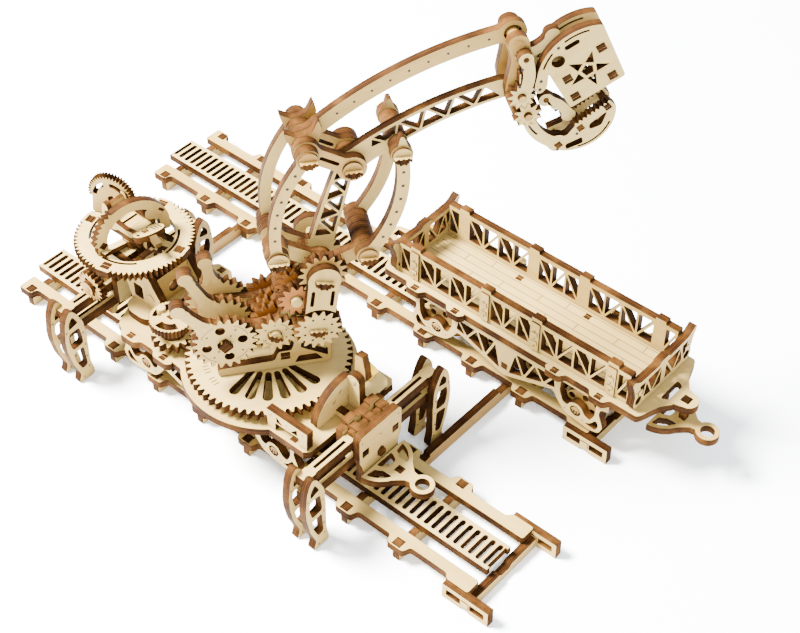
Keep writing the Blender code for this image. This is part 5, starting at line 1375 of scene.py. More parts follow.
# %% Turret frames
def turret_frame(node, side):
    bottom = SLEW_TOP + GAP
    outline = [
        (-18.6, bottom), (20.8, bottom), (20.8, 47.0), (20.2, 57.6), (17.6, 62.0), (13.8, 66.0),
        (13.4, 71.0), (9.8, 73.0), (6.4, 71.2), (5.4, 66.4), (3.0, 58.6), (-4.0, 57.6), (-12.0, 58.4),
        (-17.0, 58.6), (-20.0, 55.6), (-19.6, 51.0), (-15.8, 49.6), (-4.0, 51.2), (4.0, 50.6), (8.0, 46.4),
        (6.9, 42.9), (2.4, 42.9), (0.8, 39.0), (-18.6, 38.6),
    ]
    windows = [
        rounded([(8.0, 36.8), (17.6, 36.8), (15.4, 39.6), (9.5, 39.6)], 0.3, 2),
        rounded([(10.4, 45.4), (14.8, 45.4), (19.4, 41.4), (19.4, 38.2), (10.2, 43.6)], 0.3, 2),
    ]
    plane = at_layer(ARM_PLANE, side * 2)
    shells = [ply(rounded(outline, 0.9, 3), windows, plane, PLY, 0)]
    inner_end = -face(0, 1) if side > 0 else face(2, -1)
    cap_low, cap_high = face(3, 1) + GAP, face(3, 1) + GAP + CAP_T

    def axle(centre, low, high, radius=PIN_R):
        span = sorted((side * low, side * high))
        shells.append(dowel(centre, radius, span[0], span[1], ARM_PLANE))

    axles = (LEVER_AXIS, MID_AXIS, IDLER_AXIS) if side > 0 else (LEVER_AXIS, MID_AXIS)
    for centre in axles:
        axle(centre, inner_end, cap_high - 0.3)
        if side < 0:
            shells += axle_cap(centre, ARM_PLANE, -cap_low, -1)
    if side > 0:
        front = lifted(ARM_PLANE, face(3, 1) + 0.1)
        shells += square_peg(LEVER_AXIS.x, LEVER_AXIS.y, front, 1.7, 3.8, 38, 6)
        shells += peg_end(MID_AXIS, ARM_PLANE, face(3, 1) + 0.25, 1, 2.8, -28)
        shells += peg_end(IDLER_AXIS, ARM_PLANE, face(3, 1) + 0.25, 1, 1.6, 0, 1.2)
    post_low, post_high = face(4, -1), face(4, 1)
    axle(DOTTED_AXIS, inner_end, post_low + 0.3)
    axle(SHOULDER, -face(0, 1) if side > 0 else face(1, -1), post_low + 0.3)
    lean = math.degrees(math.atan2((SHOULDER - DOTTED_AXIS).y, (SHOULDER - DOTTED_AXIS).x))
    tall = (SHOULDER - DOTTED_AXIS).length
    if side > 0:
        post = arc((0, 0), 9.0, 35, -35, 12) + arc((tall, 0), 5.6, -108, 108, 24)
        post = turned(post, lean, DOTTED_AXIS)
    else:
        post = strip(DOTTED_AXIS, SHOULDER, 0, 9.4, 5.6, 5.6, 8)
    slits = [turned(slot((14.0, across), 6.6, 1.1, 0), lean, DOTTED_AXIS) for across in (-3.3, 3.3)]
    post_plane = at_layer(ARM_PLANE, side * 4)
    shells.append(ply(post, slits, post_plane, PLY, lean))
    if side > 0:
        shells.append(ply(circle(SHOULDER, 5.2, 36), (), lifted(ARM_PLANE, post_low - 0.1), 0.26))
    for centre in (SHOULDER,) if side > 0 else (DOTTED_AXIS, SHOULDER):
        shells += peg_end(centre, ARM_PLANE, side * post_high, side, 3.1, lean - 96)
    bracket = strip(SHOULDER, REAR_PIVOT, 0, 5.4, 4.4, 4.0, 6)
    shells.append(ply(bracket, (), at_layer(ARM_PLANE, side * 1), PLY, 149))
    for low, high in ((face(1, 1), face(2, 0)), (face(2, 0), face(2, 1))):
        plane = lifted(ARM_PLANE, side * (low + high) / 2)
        shells.append(ply(circle(REAR_PIVOT, 4.2, 32), (), plane, high - low))
    axle(REAR_PIVOT, face(2, 1), cap_high - 0.3)
    shells += axle_cap(REAR_PIVOT, ARM_PLANE, side * cap_low, side, CAP_R + 0.4)
    if side > 0:
        shells += square_peg(4.7, 40.6, at_layer(ARM_PLANE, 2), PLY / 2, 3.2)
    build(node, shells, "birch_face")


turret_frame("frame_near", 1)
turret_frame("frame_far", -1)
print("frames:", counts["frame_near"], "faces in the near one")

# %% [markdown]
# ## The hand wheel
# A 15-tooth pinion turns the slewing gear. The hand wheel above it has a knurled rim, three crescent
# slots and a short handle.

# %% Hand wheel
def hand_wheel():
    distance = pitch_radius(60) + pitch_radius(15) + 0.1
    angle = math.radians(204.7)
    centre = polar(distance, angle)
    phase = meshing_phase((0, 0), 60, 0.0, centre, 15)
    hand = moved(SLEW_X + centre[0], centre[1], 0)
    grips = []
    for index in range(144):
        radius = 8.0 - (0.0, 0.18, 0.5, 0.18)[index % 4]
        grips.append(polar(radius, math.radians(index * 2.5)))
    crescents = [arc_slot((0, 0), 5.2, 2.9, start, start + 78, 12) for start in (20, 140, 260)]
    wheel_z = 41.0
    hub_low, hub_high = SLEW_TOP + 0.1, 38.2
    shells = [
        ply(toothed(15, MODULE, phase), (), lifted(hand, SLEW_TOP - PLY / 2)),
        dowel((0, 0), 2.6, DECK_TOP + GAP, wheel_z + 1.0, hand),
        ply(circle((0, 0), 4.6, 36), (), lifted(hand, (hub_low + hub_high) / 2), hub_high - hub_low),
        ply(circle((0, 0), 3.4, 36), (), lifted(hand, 38.9), 1.3),
        ply(grips, crescents, lifted(hand, wheel_z)),
        dowel((-4.9, 0), 1.6, wheel_z, wheel_z + 2.9, hand, 24, 0.0),
    ]
    shells += square_peg(0, 0, lifted(hand, wheel_z), PLY / 2, 2.4)
    build("slew_hand_wheel", shells, "birch_face")


hand_wheel()
print("hand wheel:", counts["slew_hand_wheel"], "faces")

# %% [markdown]
# ## The gear stack
# Three levers, each one plate with its gear, drive the arm through trains of small gears. Every
# gear is cut in mesh: `meshing_phase` turns the next gear so that its gaps meet the teeth before.

# %% Levers and gears
AXLE_HOLE = circle((0, 0), HOLE_R)


def lever_outline(reach):
    """The handle of a lever: wide at its gear, slim in the middle, round at the tip."""
    lower = [(6.6, -5.4), (9.6, -3.4), (13.0, -2.1), (reach - 3.2, -1.8)]
    tip = arc((reach, 0), 2.6, -126, 126, 20)
    return rounded(lower, 1.2, 3) + tip + upside_down(lower)


def loose_gear(node, teeth, phase, centre, depth, dress="plain"):
    """A gear of a train: its dress is plain, dotted (two sheets and a peg) or engraved."""
    place = at_layer(arm_at(centre), depth)
    shells = [ply(toothed(teeth, MODULE, phase), [AXLE_HOLE], place, PLY, phase)]
    if dress == "dotted":
        shells += [ply(toothed(teeth, MODULE, phase), (), lifted(place, LAYER), PLY, phase)]
        spots = [tuple(turned([(4.9, 0)], 20 + 45 * n)[0]) for n in range(8)]
        shells += dots(spots, lifted(place, LAYER), PLY / 2, 0.5)
        shells += peg_end((0, 0), place, LAYER + PLY / 2, 1, 3.0, -6)
    elif dress == "engraved":
        reach = pitch_radius(teeth) - 2.6
        ring = [polar(reach, angle) for angle in (0.4, 1.6, 2.5, 3.7, 4.9, 5.8)]
        shells += dots(ring, place, PLY / 2, 0.34)
        for start in (20, 200):
            shells.append(mark(arc_slot((0, 0), reach + 0.7, 0.22, start, start + 50), place, PLY / 2))
    elif depth == 0:
        for beside in (-LAYER, LAYER):
            row = toothed(teeth, MODULE, phase + 180 / teeth)
            shells.append(ply(row, [AXLE_HOLE], lifted(place, beside), PLY - 0.7, phase))
    # Plain gears take the darker orange copy of the birch, which paints in shade and warm bounced light;
    # dotted and engraved gears take the birch face.
    build(node, shells, "birch_painted_shade" if dress == "plain" else "birch_face")


LEVERS = ((1, 3, 129.0, 22.8), (2, 0, 115.0, 24.6), (3, -3, 98.0, 19.6))


def gear_trains():
    """Number, layer, lean and reach of each lever give its plate and the train it drives."""
    top_phases = {}
    for number, depth, angle, reach in LEVERS:
        place = at_layer(arm_at(LEVER_AXIS), depth)
        holes = [AXLE_HOLE]
        if depth == 3:
            holes += [circle(polar(6.2, t), 1.65, 22) for t in (0.2, 1.77, 3.34, 4.91)]
        shells = [ply(toothed(22, MODULE, angle), holes, place, PLY, angle)]
        shells.append(ply(turned(lever_outline(reach), angle), (), place, PLY - 0.02, angle))
        knob = turned([(reach, 0)], angle)[0]
        shells.append(ply(circle(knob, 2.62, 32), (), place, PLY + 1.4))
        if depth == 3:
            ring = [polar(7.0, t) for t in (0.98, 2.55, 4.12, 5.69)]
            ring += [polar(4.0, t) for t in (0.98, 4.12)]
            shells += dots(ring, place, PLY / 2, 0.4)
            for start in (22, 112, 202, 292):
                shells.append(mark(arc_slot((0, 0), 8.5, 0.22, start, start + 44), place, PLY / 2))
        build("lever_%d" % number, shells, "birch_face")
        mid_phase = meshing_phase(LEVER_AXIS, 22, angle, MID_AXIS, 14)
        mid_dress, dotted_dress = ("engraved", "dotted") if depth == 3 else ("plain", "plain")
        loose_gear("mid_gear_%d" % number, 14, mid_phase, MID_AXIS, depth, mid_dress)
        if depth < 0:
            continue
        dotted_phase = meshing_phase(MID_AXIS, 14, mid_phase, DOTTED_AXIS, 16)
        loose_gear("dotted_gear_%d" % number, 16, dotted_phase, DOTTED_AXIS, depth, dotted_dress)
        idler_phase = meshing_phase(DOTTED_AXIS, 16, dotted_phase, IDLER_AXIS, 12)
        loose_gear("idler_gear_%d" % number, 12, idler_phase, IDLER_AXIS, depth)
        top_phases[depth] = meshing_phase(IDLER_AXIS, 12, idler_phase, SHOULDER, 16)
    return top_phases


TOP_PHASES = gear_trains()
print("gear stack:", counts["lever_1"], "faces in the front lever")

# %% [markdown]
# ## The arm
# Two parallel linkages: the main arm with the rear link holds the elbow rocker upright, and the
# crank with the front link swings the boom. Arm and crank each carry a gear of their train.

# %% Arm and crank
def main_arm():
    here = arm_at(SHOULDER)
    along = math.degrees(math.atan2(LINK_VECTOR.y, LINK_VECTOR.x))
    length = LINK_VECTOR.length
    blade = [(3.0, -4.2), (8.0, -4.0), (22.0, -3.6), (length - 4.6, -3.2)]
    blade += arc((length, 0), 4.2, -130, 130, 22)
    blade += [(length - 4.6, 3.2), (30.0, 3.6), (22.0, 4.0), (12.0, 4.2), (3.0, 4.4)]
    knots = [
        (7.6, 3.4), (9.4, -3.3), (14.4, 3.3), (18.4, -3.1), (22.6, 3.1), (26.6, -2.9), (30.6, 2.8),
        (34.4, -2.6), (36.6, 2.4),
    ]
    windows = [turned(window, along) for window in truss(knots, 0.45)]
    shells = [
        ply(toothed(16, MODULE, TOP_PHASES[0]), [AXLE_HOLE], here),
        ply(turned(blade, along), windows + [circle(LINK_VECTOR, HOLE_R)], here, PLY - 0.02, along),
    ]
    build("main_arm", shells, "birch_face")


def crank():
    here = arm_at(SHOULDER)
    shells = [
        ply(toothed(16, MODULE, TOP_PHASES[3]), [AXLE_HOLE], at_layer(here, 3)),
        ply(
            strip((0, 0), CRANK_VECTOR, 0, 5.4, 5.0, 4.2, 8),
            [AXLE_HOLE, circle(CRANK_VECTOR, HOLE_R)], at_layer(here, 2), PLY, 21,
        ),
        ply(circle((0, 0), 4.6, 32), [AXLE_HOLE], at_layer(here, 2.5), 0.3),
    ]
    build("crank_boom", shells, "birch_warm")
    place = arm_at(CRANK_PIN)
    reach = face(3, 1) + GAP
    shells = [dowel((0, 0), PIN_R, -reach - 0.2, reach + 0.2, place)]
    shells += axle_cap((0, 0), place, reach, 1) + axle_cap((0, 0), place, -reach, -1)
    for index in (-2, -1, 0, 1):
        shells.append(ply(circle((0, 0), 4.0, 28), (), at_layer(place, index), LAYER - 0.02))
    build("crank_pin", shells, "birch_warm")


main_arm()
crank()
print("arm:", counts["main_arm"], "faces in the main arm")

# %% [markdown]
# ## Links and elbow rocker
# The front and rear links are bowed strips in pairs with a row of engraved dots. They meet the
# elbow rocker, whose claws close round the upper axle.

# %% Links and rocker
def curved_link(node, pivot, sagitta, width):
    place = arm_at(pivot)
    outline = strip((0, 0), LINK_VECTOR, sagitta, width, 3.9, 3.7, 18)
    holes = [AXLE_HOLE, circle(LINK_VECTOR, HOLE_R + 0.15)]
    shells = []
    for side in (1, -1):
        plane = at_layer(place, side * 3)
        shells.append(ply(outline, holes, plane, PLY, 75))
        shells += dots(bow_dots((0, 0), LINK_VECTOR, sagitta, 0.2, 0.84, 6), plane, side * PLY / 2, 0.58)
    if node == "front_link":
        horn = turned([(-1.5, 3.0), (-0.5, 7.0), (0.6, 7.0), (2.4, 2.4)], 0, LINK_VECTOR)
        for side in (1, -1):
            shells.append(ply(rounded(horn, 0.5, 3), (), at_layer(place, side * 3), PLY - 0.04))
    build(node, shells, "birch_face")


def rocker():
    place = arm_at(ELBOW)
    rear = REAR_ELBOW - ELBOW
    outline = strip((0, 0), rear, 0, 6.0, 4.8, 4.4, 8)
    lean = math.degrees(math.atan2(rear.y, rear.x))
    slit = [slot(rear / 2, 7.0, 1.2, lean)]
    claw = arc((0, 0), 4.2, 215, 340, 14)
    claw += [(4.6, 1.2), (5.9, 5.6), (4.7, 9.6), (2.6, 5.2), (0.4, 4.1), (-2.4, 3.8), (-6.2, 6.0)]
    claw.append((-4.9, 1.6))
    claw = turned(rounded(claw, 0.8, 4), 0, rear)
    reach = face(3, 1) + GAP
    shells = [
        ply(outline, slit, at_layer(place, 2), PLY, lean),
        ply(outline, slit, at_layer(place, -1), PLY, lean),
        dowel((0, 0), PIN_R, face(-1, -1), face(2, 1) + 1.0, place),
        dowel(rear, PIN_R, -reach, reach, place),
        ply(claw, (), at_layer(place, 1), PLY, 30),
        ply(circle(rear, 3.6, 30), (), at_layer(place, 2.5), LAYER + 0.6),
        ply(claw, (), at_layer(place, -2), PLY, 30),
        ply(circle(rear, 3.9, 30), (), at_layer(place, -1), PLY + 0.5),
        ply(circle((0, 0), 4.6, 30), (), at_layer(place, -2), PLY),
    ]
    shells += axle_cap((0, 0), place, face(2, 1), 1)
    shells += axle_cap(rear, place, reach, 1) + axle_cap(rear, place, -reach, -1)
    build("rocker", shells, "birch_warm")


curved_link("front_link", CRANK_PIN, -4.6, 4.4)
curved_link("rear_link", REAR_PIVOT, 4.6, 4.0)
rocker()
print("links:", counts["front_link"], "faces in the front link")

# %% [markdown]
# ## Boom and rod
# The boom is a long bowed truss: chord points are stepped along a shallow arc and a zigzag of
# triangles is let in between them, each one inset and eased so that even webs are left.

# %% Boom and rod
def boom():
    place = arm_at(ELBOW)
    tail = BOOM_TAIL - ELBOW
    wrist = WRIST - ELBOW
    knots, upper, lower = [], [], []
    for index in range(28):
        share = 0.05 + 0.87 * index / 27
        point, direction = bow_point((0, 0), wrist, 3.4, share)
        side = Vector((-direction.y, direction.x))
        half = 4.4 - 0.9 * share
        upper.append(tuple(point + side * half))
        lower.append(tuple(point - side * half))
    for index in range(11):
        share = 0.09 + 0.83 * index / 10
        point, direction = bow_point((0, 0), wrist, 3.4, share)
        side = Vector((-direction.y, direction.x))
        inner = 4.4 - 0.9 * share - 0.75
        knots.append(tuple(point + side * inner * (1 if index % 2 else -1)))
    heading = math.degrees(math.atan2(wrist.y, wrist.x))
    outline = lower + arc(wrist, 4.0, heading - 120, heading + 120, 20) + upper[::-1]
    outline += arc((0, 0), 5.2, heading + 120, heading + 230, 14)
    holes = truss(knots, 0.42, 0.45) + [AXLE_HOLE, circle(wrist, HOLE_R)]
    reach = face(3, 1) + GAP
    shells = [ply(outline, holes, at_layer(place, 1), PLY, heading)]
    shells.append(dowel(tail, PIN_R, -reach - 0.2, reach + 0.2, place))
    shells += axle_cap(tail, place, reach, 1) + axle_cap(tail, place, -reach, -1)
    lug = strip((0, 0), tail, 0, 5.0, 4.6, 3.4, 6)
    shells.append(ply(lug, (), at_layer(place, 1), PLY - 0.04, 20))
    for index in (-2, -1, 0, 2):
        shells.append(ply(circle(tail, 3.3, 28), (), at_layer(place, index), LAYER - 0.02))
    build("boom", shells, "birch_face")


def upper_rod():
    place = arm_at(REAR_ELBOW)
    end = ROD_END - REAR_ELBOW
    outline = strip((0, 0), end, 5.2, 5.4, 4.2, 4.6, 24)
    shells = [ply(outline, [AXLE_HOLE, circle(end, HOLE_R + 0.7)], place, PLY, 20)]
    for side in (1, -1):
        shells += dots(bow_dots((0, 0), end, 5.2, 0.1, 0.9, 10), place, side * PLY / 2, 0.46)
    build("upper_rod", shells, "birch_face")


boom()
upper_rod()
print("boom:", counts["boom"], "faces")

# %% [markdown]
# ## The grab head
# Two jaws geared together on a short link, with long thin teeth. The link's two plates carry both
# wrist pins and the end of the upper rod, which holds the head level.

# %% Wrist link
JAW_GEAR_TEETH = 10
WRIST_GEAR_LEAN = -72.0
FRONT_CHEEK = 3
FAR_CHEEK = 1
EYE_R = 1.3


def jaw_gear_centre():
    distance = pitch_radius(JAW_GEAR_TEETH, JAW_MODULE) * 2 + 0.05
    return WRIST + Vector(polar(1, math.radians(WRIST_GEAR_LEAN))) * distance


def wrist_link():
    place = arm_at(WRIST)
    low = jaw_gear_centre() - WRIST
    top = ROD_END - WRIST
    outline = [
        (top.x - 3.4, top.y), (top.x - 2.0, top.y - 5.0), (-4.6, 1.0), (-3.6, -4.0),
        (low.x - 3.8, low.y - 2.0), (low.x, low.y - 4.0), (low.x + 3.4, low.y - 2.0), (5.0, -2.0),
        (4.4, 3.0), (top.x + 4.4, top.y - 4.0),
    ] + arc(top, 3.6, 0, 150, 12)
    outline = rounded(outline, 1.0, 3)
    reach = face(3, 1) + GAP
    windows = [slot((0.2, 9.6), 6.0, 1.2, 96)]
    shells = []
    for index in (2, -1):
        shells.append(ply(outline, windows, at_layer(place, index), PLY, 90))
    front = at_layer(place, 2)
    shells += dots([(top.x + 0.6, top.y), (0.2, 14.2), (0.0, 5.4)], front, PLY / 2, 0.5)
    for centre, radius in (((0, 0), PIN_R), (low, PIN_R - 0.4)):
        shells.append(dowel(centre, radius, -reach + 0.4, reach - 0.4, place))
        for side in (1, -1):
            pin_end = lifted(place, side * (reach + 0.3))
            shells.append(ply(circle(centre, 1.25, 20), (), pin_end, 1.4))
    shells.append(dowel(top, PIN_R, face(-1, -1), face(2, 1) + 0.4, place))
    build("wrist_link", shells, "birch_warm")


wrist_link()
print("wrist link:", counts["wrist_link"], "faces")

# %% [markdown]
# ## The upper jaw
# Its two cheeks have a plain five-pointed star cut out and are joined by four square bars, whose
# brown ends show in the front cheek.

# %% Upper jaw
def star_windows(centre, radius, turn):
    """The five points of a star and its middle, left open between straight webs."""
    tips = [Vector(turned([(radius, 0)], turn + n * 72, centre)[0]) for n in range(5)]
    inner = [Vector(turned([(radius * 0.4, 0)], turn + 36 + n * 72, centre)[0]) for n in range(5)]
    windows = []
    for n in range(5):
        windows.append(inset_triangle((tips[n], inner[n], inner[n - 1]), 0.3))
    middle = Vector(centre)
    windows.append([tuple(middle + (corner - middle) * 0.66) for corner in inner])
    return [window for window in windows if window]


def bar_between(centre, width, angle, place):
    """A square bar from the front cheek to the far one, its brown ends showing in both."""
    low, high = face(FAR_CHEEK, 1), face(FRONT_CHEEK, -1)
    bar = slanted(centre, width, width, angle)
    shells = [ply(bar, (), lifted(place, (low + high) / 2), high - low)]
    shells += square_peg(*centre, at_layer(place, FRONT_CHEEK), PLY / 2, width, angle)
    back = lifted(place, layer(FAR_CHEEK) - 0.15)
    shells.append(tenon(slanted(centre, width - 0.1, width - 0.1, angle), back, PLY, angle))
    return shells


def upper_jaw():
    place = arm_at(WRIST)
    cheek = [(3.8, 3.4), (4.2, 0.8), (6.2, 0.3), (7.9, 2.4), (8.0, 7.4), (16.0, -6.6), (32.9, 3.4)]
    cheek += [(23.8, 23.4)]
    cheek += arc((22.4, 5.4), 18.1, 94, 176, 18)
    bars = ((14.2, 4.7), (28.6, 4.1), (24.0, 14.9), (17.3, -2.3))
    holes = star_windows((20.4, 7.2), 7.7, 84) + [circle((10.7, 11.6), 2.1, 26)]
    holes += [slot((14.6, 17.2), 5.0, 1.5, 30), arc_slot((22.4, 5.4), 16.6, 0.5, 100, 128, 12)]
    holes += [arc_slot((22.4, 5.4), 16.6, 0.5, 146, 166, 8)]
    front = at_layer(place, FRONT_CHEEK)
    knee = (0.6, 13.6)
    link = strip((0, 0), knee, -1.6, 4.0, 3.0, 2.5, 10)
    eye = circle((0, 0), EYE_R, 20)
    shells = [
        ply(toothed(JAW_GEAR_TEETH, JAW_MODULE, WRIST_GEAR_LEAN, 1.1, 1.7), [eye], front),
        ply(link, [eye, slot((-0.9, 7.0), 3.6, 0.6, 92)], front, PLY - 0.02, 90),
        tenon(circle(knee, 0.9, 18), front, PLY + 0.4),
    ]
    shells += dots([(-0.4, 10.2), (-0.9, 3.9)], front, PLY / 2, 0.55)
    arm_back = strip(knee, (9.4, 19.0), -1.4, 3.6, 3.2, 2.6, 8)
    shells.append(ply(arm_back, (), at_layer(place, 2), PLY, 20))
    for level in (FRONT_CHEEK, FAR_CHEEK):
        plane = at_layer(place, level)
        shells.append(ply(rounded(cheek, 1.0, 4), holes, plane, PLY, 28))
        shells += dots([(5.8, 5.0), (5.6, 2.0), (10.4, 16.6)], plane, PLY / 2, 0.6)
    for bar in bars:
        shells += bar_between(bar, 2.9, 28, place)
    build("upper_jaw", shells, "birch_pale")


upper_jaw()
print("upper jaw:", counts["upper_jaw"], "faces")

# %% [markdown]
# ## The lower jaw
# The lower jaw hangs from its own gear on a bowed arm. Its upper edge is a row of small hooked
# teeth, stepped off between two points.

# %% Lower jaw
def lower_jaw():
    place = arm_at(jaw_gear_centre())
    axis = jaw_gear_centre() - WRIST
    phase = meshing_phase((0, 0), JAW_GEAR_TEETH, WRIST_GEAR_LEAN, tuple(axis), JAW_GEAR_TEETH)
    arm = strip((0, 0), (10.4, -12.6), -2.2, 4.2, 3.0, 3.2, 12)
    teeth = []
    start, end = Vector((15.6, -6.6)), Vector((27.0, 1.6))
    bites = 9
    for index in range(bites):
        root = start + (end - start) * index / bites
        for share, lift in ((0.0, 0.0), (0.25, 0.8), (0.6, 0.9), (0.82, 0.1)):
            teeth.append(tuple(root + (end - start) * share / bites + Vector((-0.55, 0.8)) * lift))
    jaw = teeth + [(28.6, -0.6)] + arc((15.2, -2.6), 13.6, 0, -108, 20) + [(8.8, -11.4), (13.4, -9.6)]
    holes = [
        rounded([(20.6, -8.6), (20.4, -6.6), (25.8, -2.4), (24.4, -7.4)], 0.9, 3),
        rounded([(13.0, -13.6), (18.4, -11.4), (18.8, -13.6), (13.6, -15.4)], 0.5, 3),
        arc_slot((15.2, -2.6), 12.4, 0.45, -18, -80, 12),
    ]
    bars = ((17.6, -7.6), (25.8, -0.6), (10.8, -13.4))
    shells = []
    front = at_layer(place, FRONT_CHEEK)
    eye = circle((0, 0), EYE_R, 20)
    line = arc_slot((14.0, 3.0), 15.2, 0.5, 204, 226, 8)
    shells.append(ply(toothed(JAW_GEAR_TEETH, JAW_MODULE, phase, 1.1, 1.7), [eye], front))
    shells.append(ply(arm, [eye, line], front, PLY - 0.02, -50))
    claw = strip((6.6, 2.4), (14.4, -4.6), 1.2, 3.4, 2.4, 2.4, 8)
    behind = at_layer(place, 2)
    shells.append(ply(claw, [arc_slot((20.0, 8.4), 14.4, 0.5, 208, 226, 8)], behind, PLY - 0.04, -40))
    shells.append(tenon(circle((6.6, 2.4), 0.9, 18), behind, PLY + 0.4))
    for level in (FRONT_CHEEK, FAR_CHEEK):
        plane = at_layer(place, level)
        shells.append(ply(jaw, holes, plane, PLY, 36))
        shells += dots([(16.6, -9.8), (10.6, -15.2), (9.0, 0.6)], plane, PLY / 2, 0.55)
    for bar in bars:
        shells += bar_between(bar, 2.2, 35, place)
    build("lower_jaw", shells, "birch_pale")


lower_jaw()
print("lower jaw:", counts["lower_jaw"], "faces")

# %% [markdown]
# ## The goods wagon
# An open box on the same running gear. The planks of its floor are only engraved lines, so they are
# thin marks on the base, with the joints staggered from row to row.

# %% Wagon floor
def wagon_base():
    place = moved(WAGON_X, TRACK_SPACING, DECK_TOP - PLY / 2)
    half_right = []
    for ear in (22.5, 41.4):
        half_right += [(ear - 4.4, -18.1), (ear - 2.8, -20.5), (ear + 2.8, -20.5), (ear + 4.4, -18.1)]
    half_right += [(56.6, -18.1), (57.6, -16.7), (60.2, -9.0), (63.4, -4.6)]
    half_right = rounded(half_right, 0.9, 3) + arc((65.6, 0), 4.0, -60, 0, 8)
    half = [(-x, y) for x, y in reversed(half_right)] + half_right
    outline = half + upside_down(half[1:-1])
    holes = [box(side * 65.2 - 1.6, -1.6, side * 65.2 + 1.6, 1.6) for side in (-1, 1)]
    eye = rounded([(58.0, -5.4), (60.6, -4.2), (60.6, 4.2), (58.0, 5.4)], 1.0, 3)
    holes += [sided(eye, side) for side in (-1, 1)]
    shells = [ply(outline, holes, place, PLY, 0)]
    stagger = (0.35, 0.8, 0.15, 0.6, 0.95, 0.4, 0.7)
    rows, half_floor, half_length, hair = len(stagger), 11.9, 51.0, 0.15
    plank = 2 * half_floor / rows
    for row in range(rows + 1):
        y = plank * row - half_floor
        seam = box(-half_length, y - hair, half_length, y + hair)
        shells.append(mark(seam, place, PLY / 2, 0.85))
        for joint in range(3 if row < rows else 0):
            x = 2 * half_length * (joint + stagger[row]) / 3 - half_length
            shells.append(mark(box(x - hair, y, x + hair, y + plank), place, PLY / 2, 0.85))
    for ear in (-41.4, -22.5, 22.5, 41.4):
        for side in (-1, 1):
            shells += square_peg(ear, side * 18.8, place, PLY / 2, 2.6)
    for spot in (-15.5, 15.5):
        shells += square_peg(spot, 10.4, place, PLY / 2, 2.4)
    build("wagon_base", shells, "birch_pale")


wagon_base()
print("wagon floor:", counts["wagon_base"], "faces")

# %% [markdown]
# ## Wagon walls
# The side walls are long trusses between strapped posts, and the end walls have swept wings with a
# round hole in each.

# %% Wagon walls
def side_panel(node, y, outward):
    length = 53.1 - PLY / 2 - GAP
    top = []
    for post in (43.9, 11.3, -11.3, -43.9):
        top += [(post + 2.2, 44.0), (post + 2.2, 45.2), (post - 2.2, 45.2), (post - 2.2, 44.0)]
    outline = [(-length, BASE), (length, BASE), (length, 44.0)] + top + [(-length, 44.0)]
    low, high = BASE + 1.5, 42.5
    holes = []
    spans = [(-41.7, -13.5, 4, 0), (-9.1, 9.1, 3, 0), (13.5, 41.7, 4, 0)]
    spans += [(46.1, 50.9, 1, 1), (-50.9, -46.1, 1, 0)]
    for left, right, bays, lean in spans:
        for bay in range(bays):
            a = left + (right - left) * bay / bays
            b = left + (right - left) * (bay + 1) / bays
            if (bay + lean) % 2:
                a, b = b, a
            for corners in (((a, low), (a, high), (b, low)), ((a, high), (b, high), (b, low))):
                holes.append(rounded(inset_triangle(corners, 0.46), 0.4, 3))
    place = moved(WAGON_X, y, 0) @ FACING_NEAR
    shells = [ply(rounded(outline, 0.25, 2), holes, place)]
    for post in (-43.9, -11.3, 11.3, 43.9):
        plate = lifted(place, outward * (PLY / 2 + 0.35))
        strap = rounded(box(post - 1.9, BASE + 0.4, post + 1.9, 43.6), 0.4, 2)
        shells.append(ply(strap, (), plate, 0.7, 90))
        shells += dots([(post, z) for z in (32.6, 36.2, 39.8)], plate, outward * 0.35, 0.38)
        for height in (34.4, 38.4):
            shells.append(ply(box(post - 1.2, height - 0.8, post + 1.2, height + 0.8), (), plate, 1.2))
    build(node, shells, "birch_face")


def end_panel(node, x, outward):
    half = [
        (12.4, BASE), (16.0, BASE), (17.6, BASE + 2.6), (17.0, BASE + 6.6), (18.0, BASE + 10.6),
        (19.5, 43.9), (18.5, 45.3), (14.6, 42.5), (3.0, 41.9), (2.4, 43.1),
    ]
    knots = [(0.9, 1.6), (0.9, 10.6), (6.4, 1.6), (10.6, 10.6), (12.0, 2.6), (15.4, 10.8)]
    lace = truss([(x, BASE + rise) for x, rise in knots], 0.5, 0.5)
    holes = []
    for side in (-1, 1):
        holes.append(circle((side * 14.6, BASE + 3.6), 1.7, 22))
        holes += [sided(window, side) for window in lace]
    place = across_at(x, TRACK_SPACING)
    shells = [ply(rounded(both_sides(half), 1.0, 4), holes, place, PLY, 0)]
    shells += dots([(side * 16.4, BASE + 8.4) for side in (-1, 1)], place, outward * PLY / 2, 0.4)
    for side in (-1, 1):
        shells.append(ply(box(side * 14.1 - 1.2, 36.0, side * 14.1 + 1.2, 38.4), (), place, PLY + 0.5))
    build(node, shells, "birch_face")


side_panel("wagon_side_near", TRACK_SPACING - 14.1, 1)
side_panel("wagon_side_far", TRACK_SPACING + 14.1, -1)
end_panel("wagon_end_left", WAGON_X - 53.1, -1)
end_panel("wagon_end_right", WAGON_X + 53.1, 1)
print("wagon:", counts["wagon_side_near"], "faces in a side wall;", sum(counts.values()), "faces in all")

# %% [markdown]
# ## Stage, light and camera
# A pale floor, one large soft key from the upper left and a bright sky around give the soft, nearly
# shadowless look of a product photograph. The camera stands where the photograph was taken.

# %% Stage
FLOOR_COLOUR = (0.92, 0.945, 0.965, 1)
SKY_COLOUR = (0.93, 0.96, 1.0, 1)
SKY_STRENGTH = 2.9
AIM = (0, 0.03, 0.03)


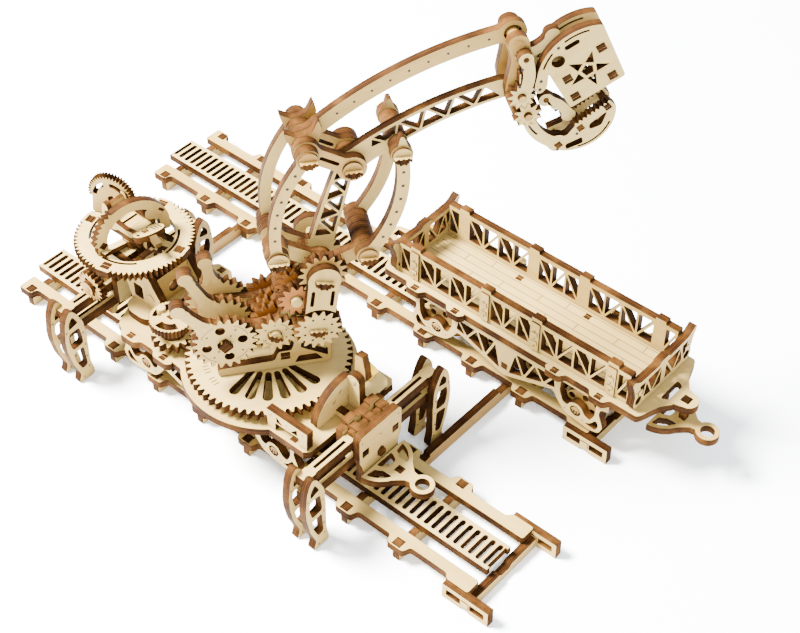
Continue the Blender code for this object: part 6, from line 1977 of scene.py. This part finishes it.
def stage_floor():
    ground = bmesh.new()
    bmesh.ops.create_grid(ground, x_segments=1, y_segments=1, size=3.0)
    mesh = bpy.data.meshes.new("floor")
    ground.to_mesh(mesh)
    ground.free()
    floor = bpy.data.objects.new("floor", mesh)
    bpy.context.scene.collection.objects.link(floor)
    material = bpy.data.materials.new("pale_floor")
    material.use_nodes = True
    shader = material.node_tree.nodes["Principled BSDF"]
    shader.inputs["Base Color"].default_value = FLOOR_COLOUR
    shader.inputs["Roughness"].default_value = 0.75
    mesh.materials.append(material)


def lamp(name, place, target, size, power, colour):
    light = bpy.data.lights.new(name, "AREA")
    light.shape = "DISK"
    light.size = size
    light.energy = power
    light.color = colour
    holder = bpy.data.objects.new(name, light)
    holder.location = place
    holder.rotation_euler = (Vector(target) - Vector(place)).to_track_quat("-Z", "Y").to_euler()
    bpy.context.scene.collection.objects.link(holder)


stage_floor()
lamp("key", (-0.55, -0.35, 0.95), AIM, 0.42, 260.0, (1.0, 0.985, 0.95))
lamp("fill", (0.9, -0.7, 0.7), (0, 0.03, 0.05), 0.9, 16.0, (0.93, 0.97, 1.0))
world = bpy.data.worlds.new("soft_sky")
world.use_nodes = True
sky = world.node_tree.nodes["Background"]
sky.inputs["Color"].default_value = SKY_COLOUR
sky.inputs["Strength"].default_value = SKY_STRENGTH
bpy.context.scene.world = world
print("lights:", len(bpy.data.lights))

# %% [markdown]
# ## Camera
# The photograph's camera was solved from the evenly spaced slots of the track. It looks down at
# about 44 degrees, and its long lens is given in pixels of the 800 pixel wide picture.

# %% Camera
SENSOR_WIDTH = 36.0
FOCAL_PIXELS = 1649.12
PICTURE_WIDTH = 800.0
CAMERA_AT = (0.28983, -0.27560, 0.44616)
azimuth, drop, roll = (math.radians(degrees) for degrees in (130.373, 44.467, 0.534))
forward = Vector((*polar(math.cos(drop), azimuth), -math.sin(drop)))
right = forward.cross(Vector((0, 0, 1))).normalized()
up = right.cross(forward)
camera_x = right * math.cos(roll) + up * math.sin(roll)
camera_y = up * math.cos(roll) - right * math.sin(roll)
lens = bpy.data.cameras.new("photo_lens")
lens.sensor_width = SENSOR_WIDTH
lens.lens = FOCAL_PIXELS * SENSOR_WIDTH / PICTURE_WIDTH
lens.clip_start = 0.02
lens.clip_end = 20.0
camera = bpy.data.objects.new("camera", lens)
turn = Matrix((camera_x, camera_y, -forward)).transposed().to_4x4()
camera.matrix_world = Matrix.Translation(CAMERA_AT) @ turn
bpy.context.scene.collection.objects.link(camera)
bpy.context.scene.camera = camera
print("lens", round(lens.lens, 1), "mm")
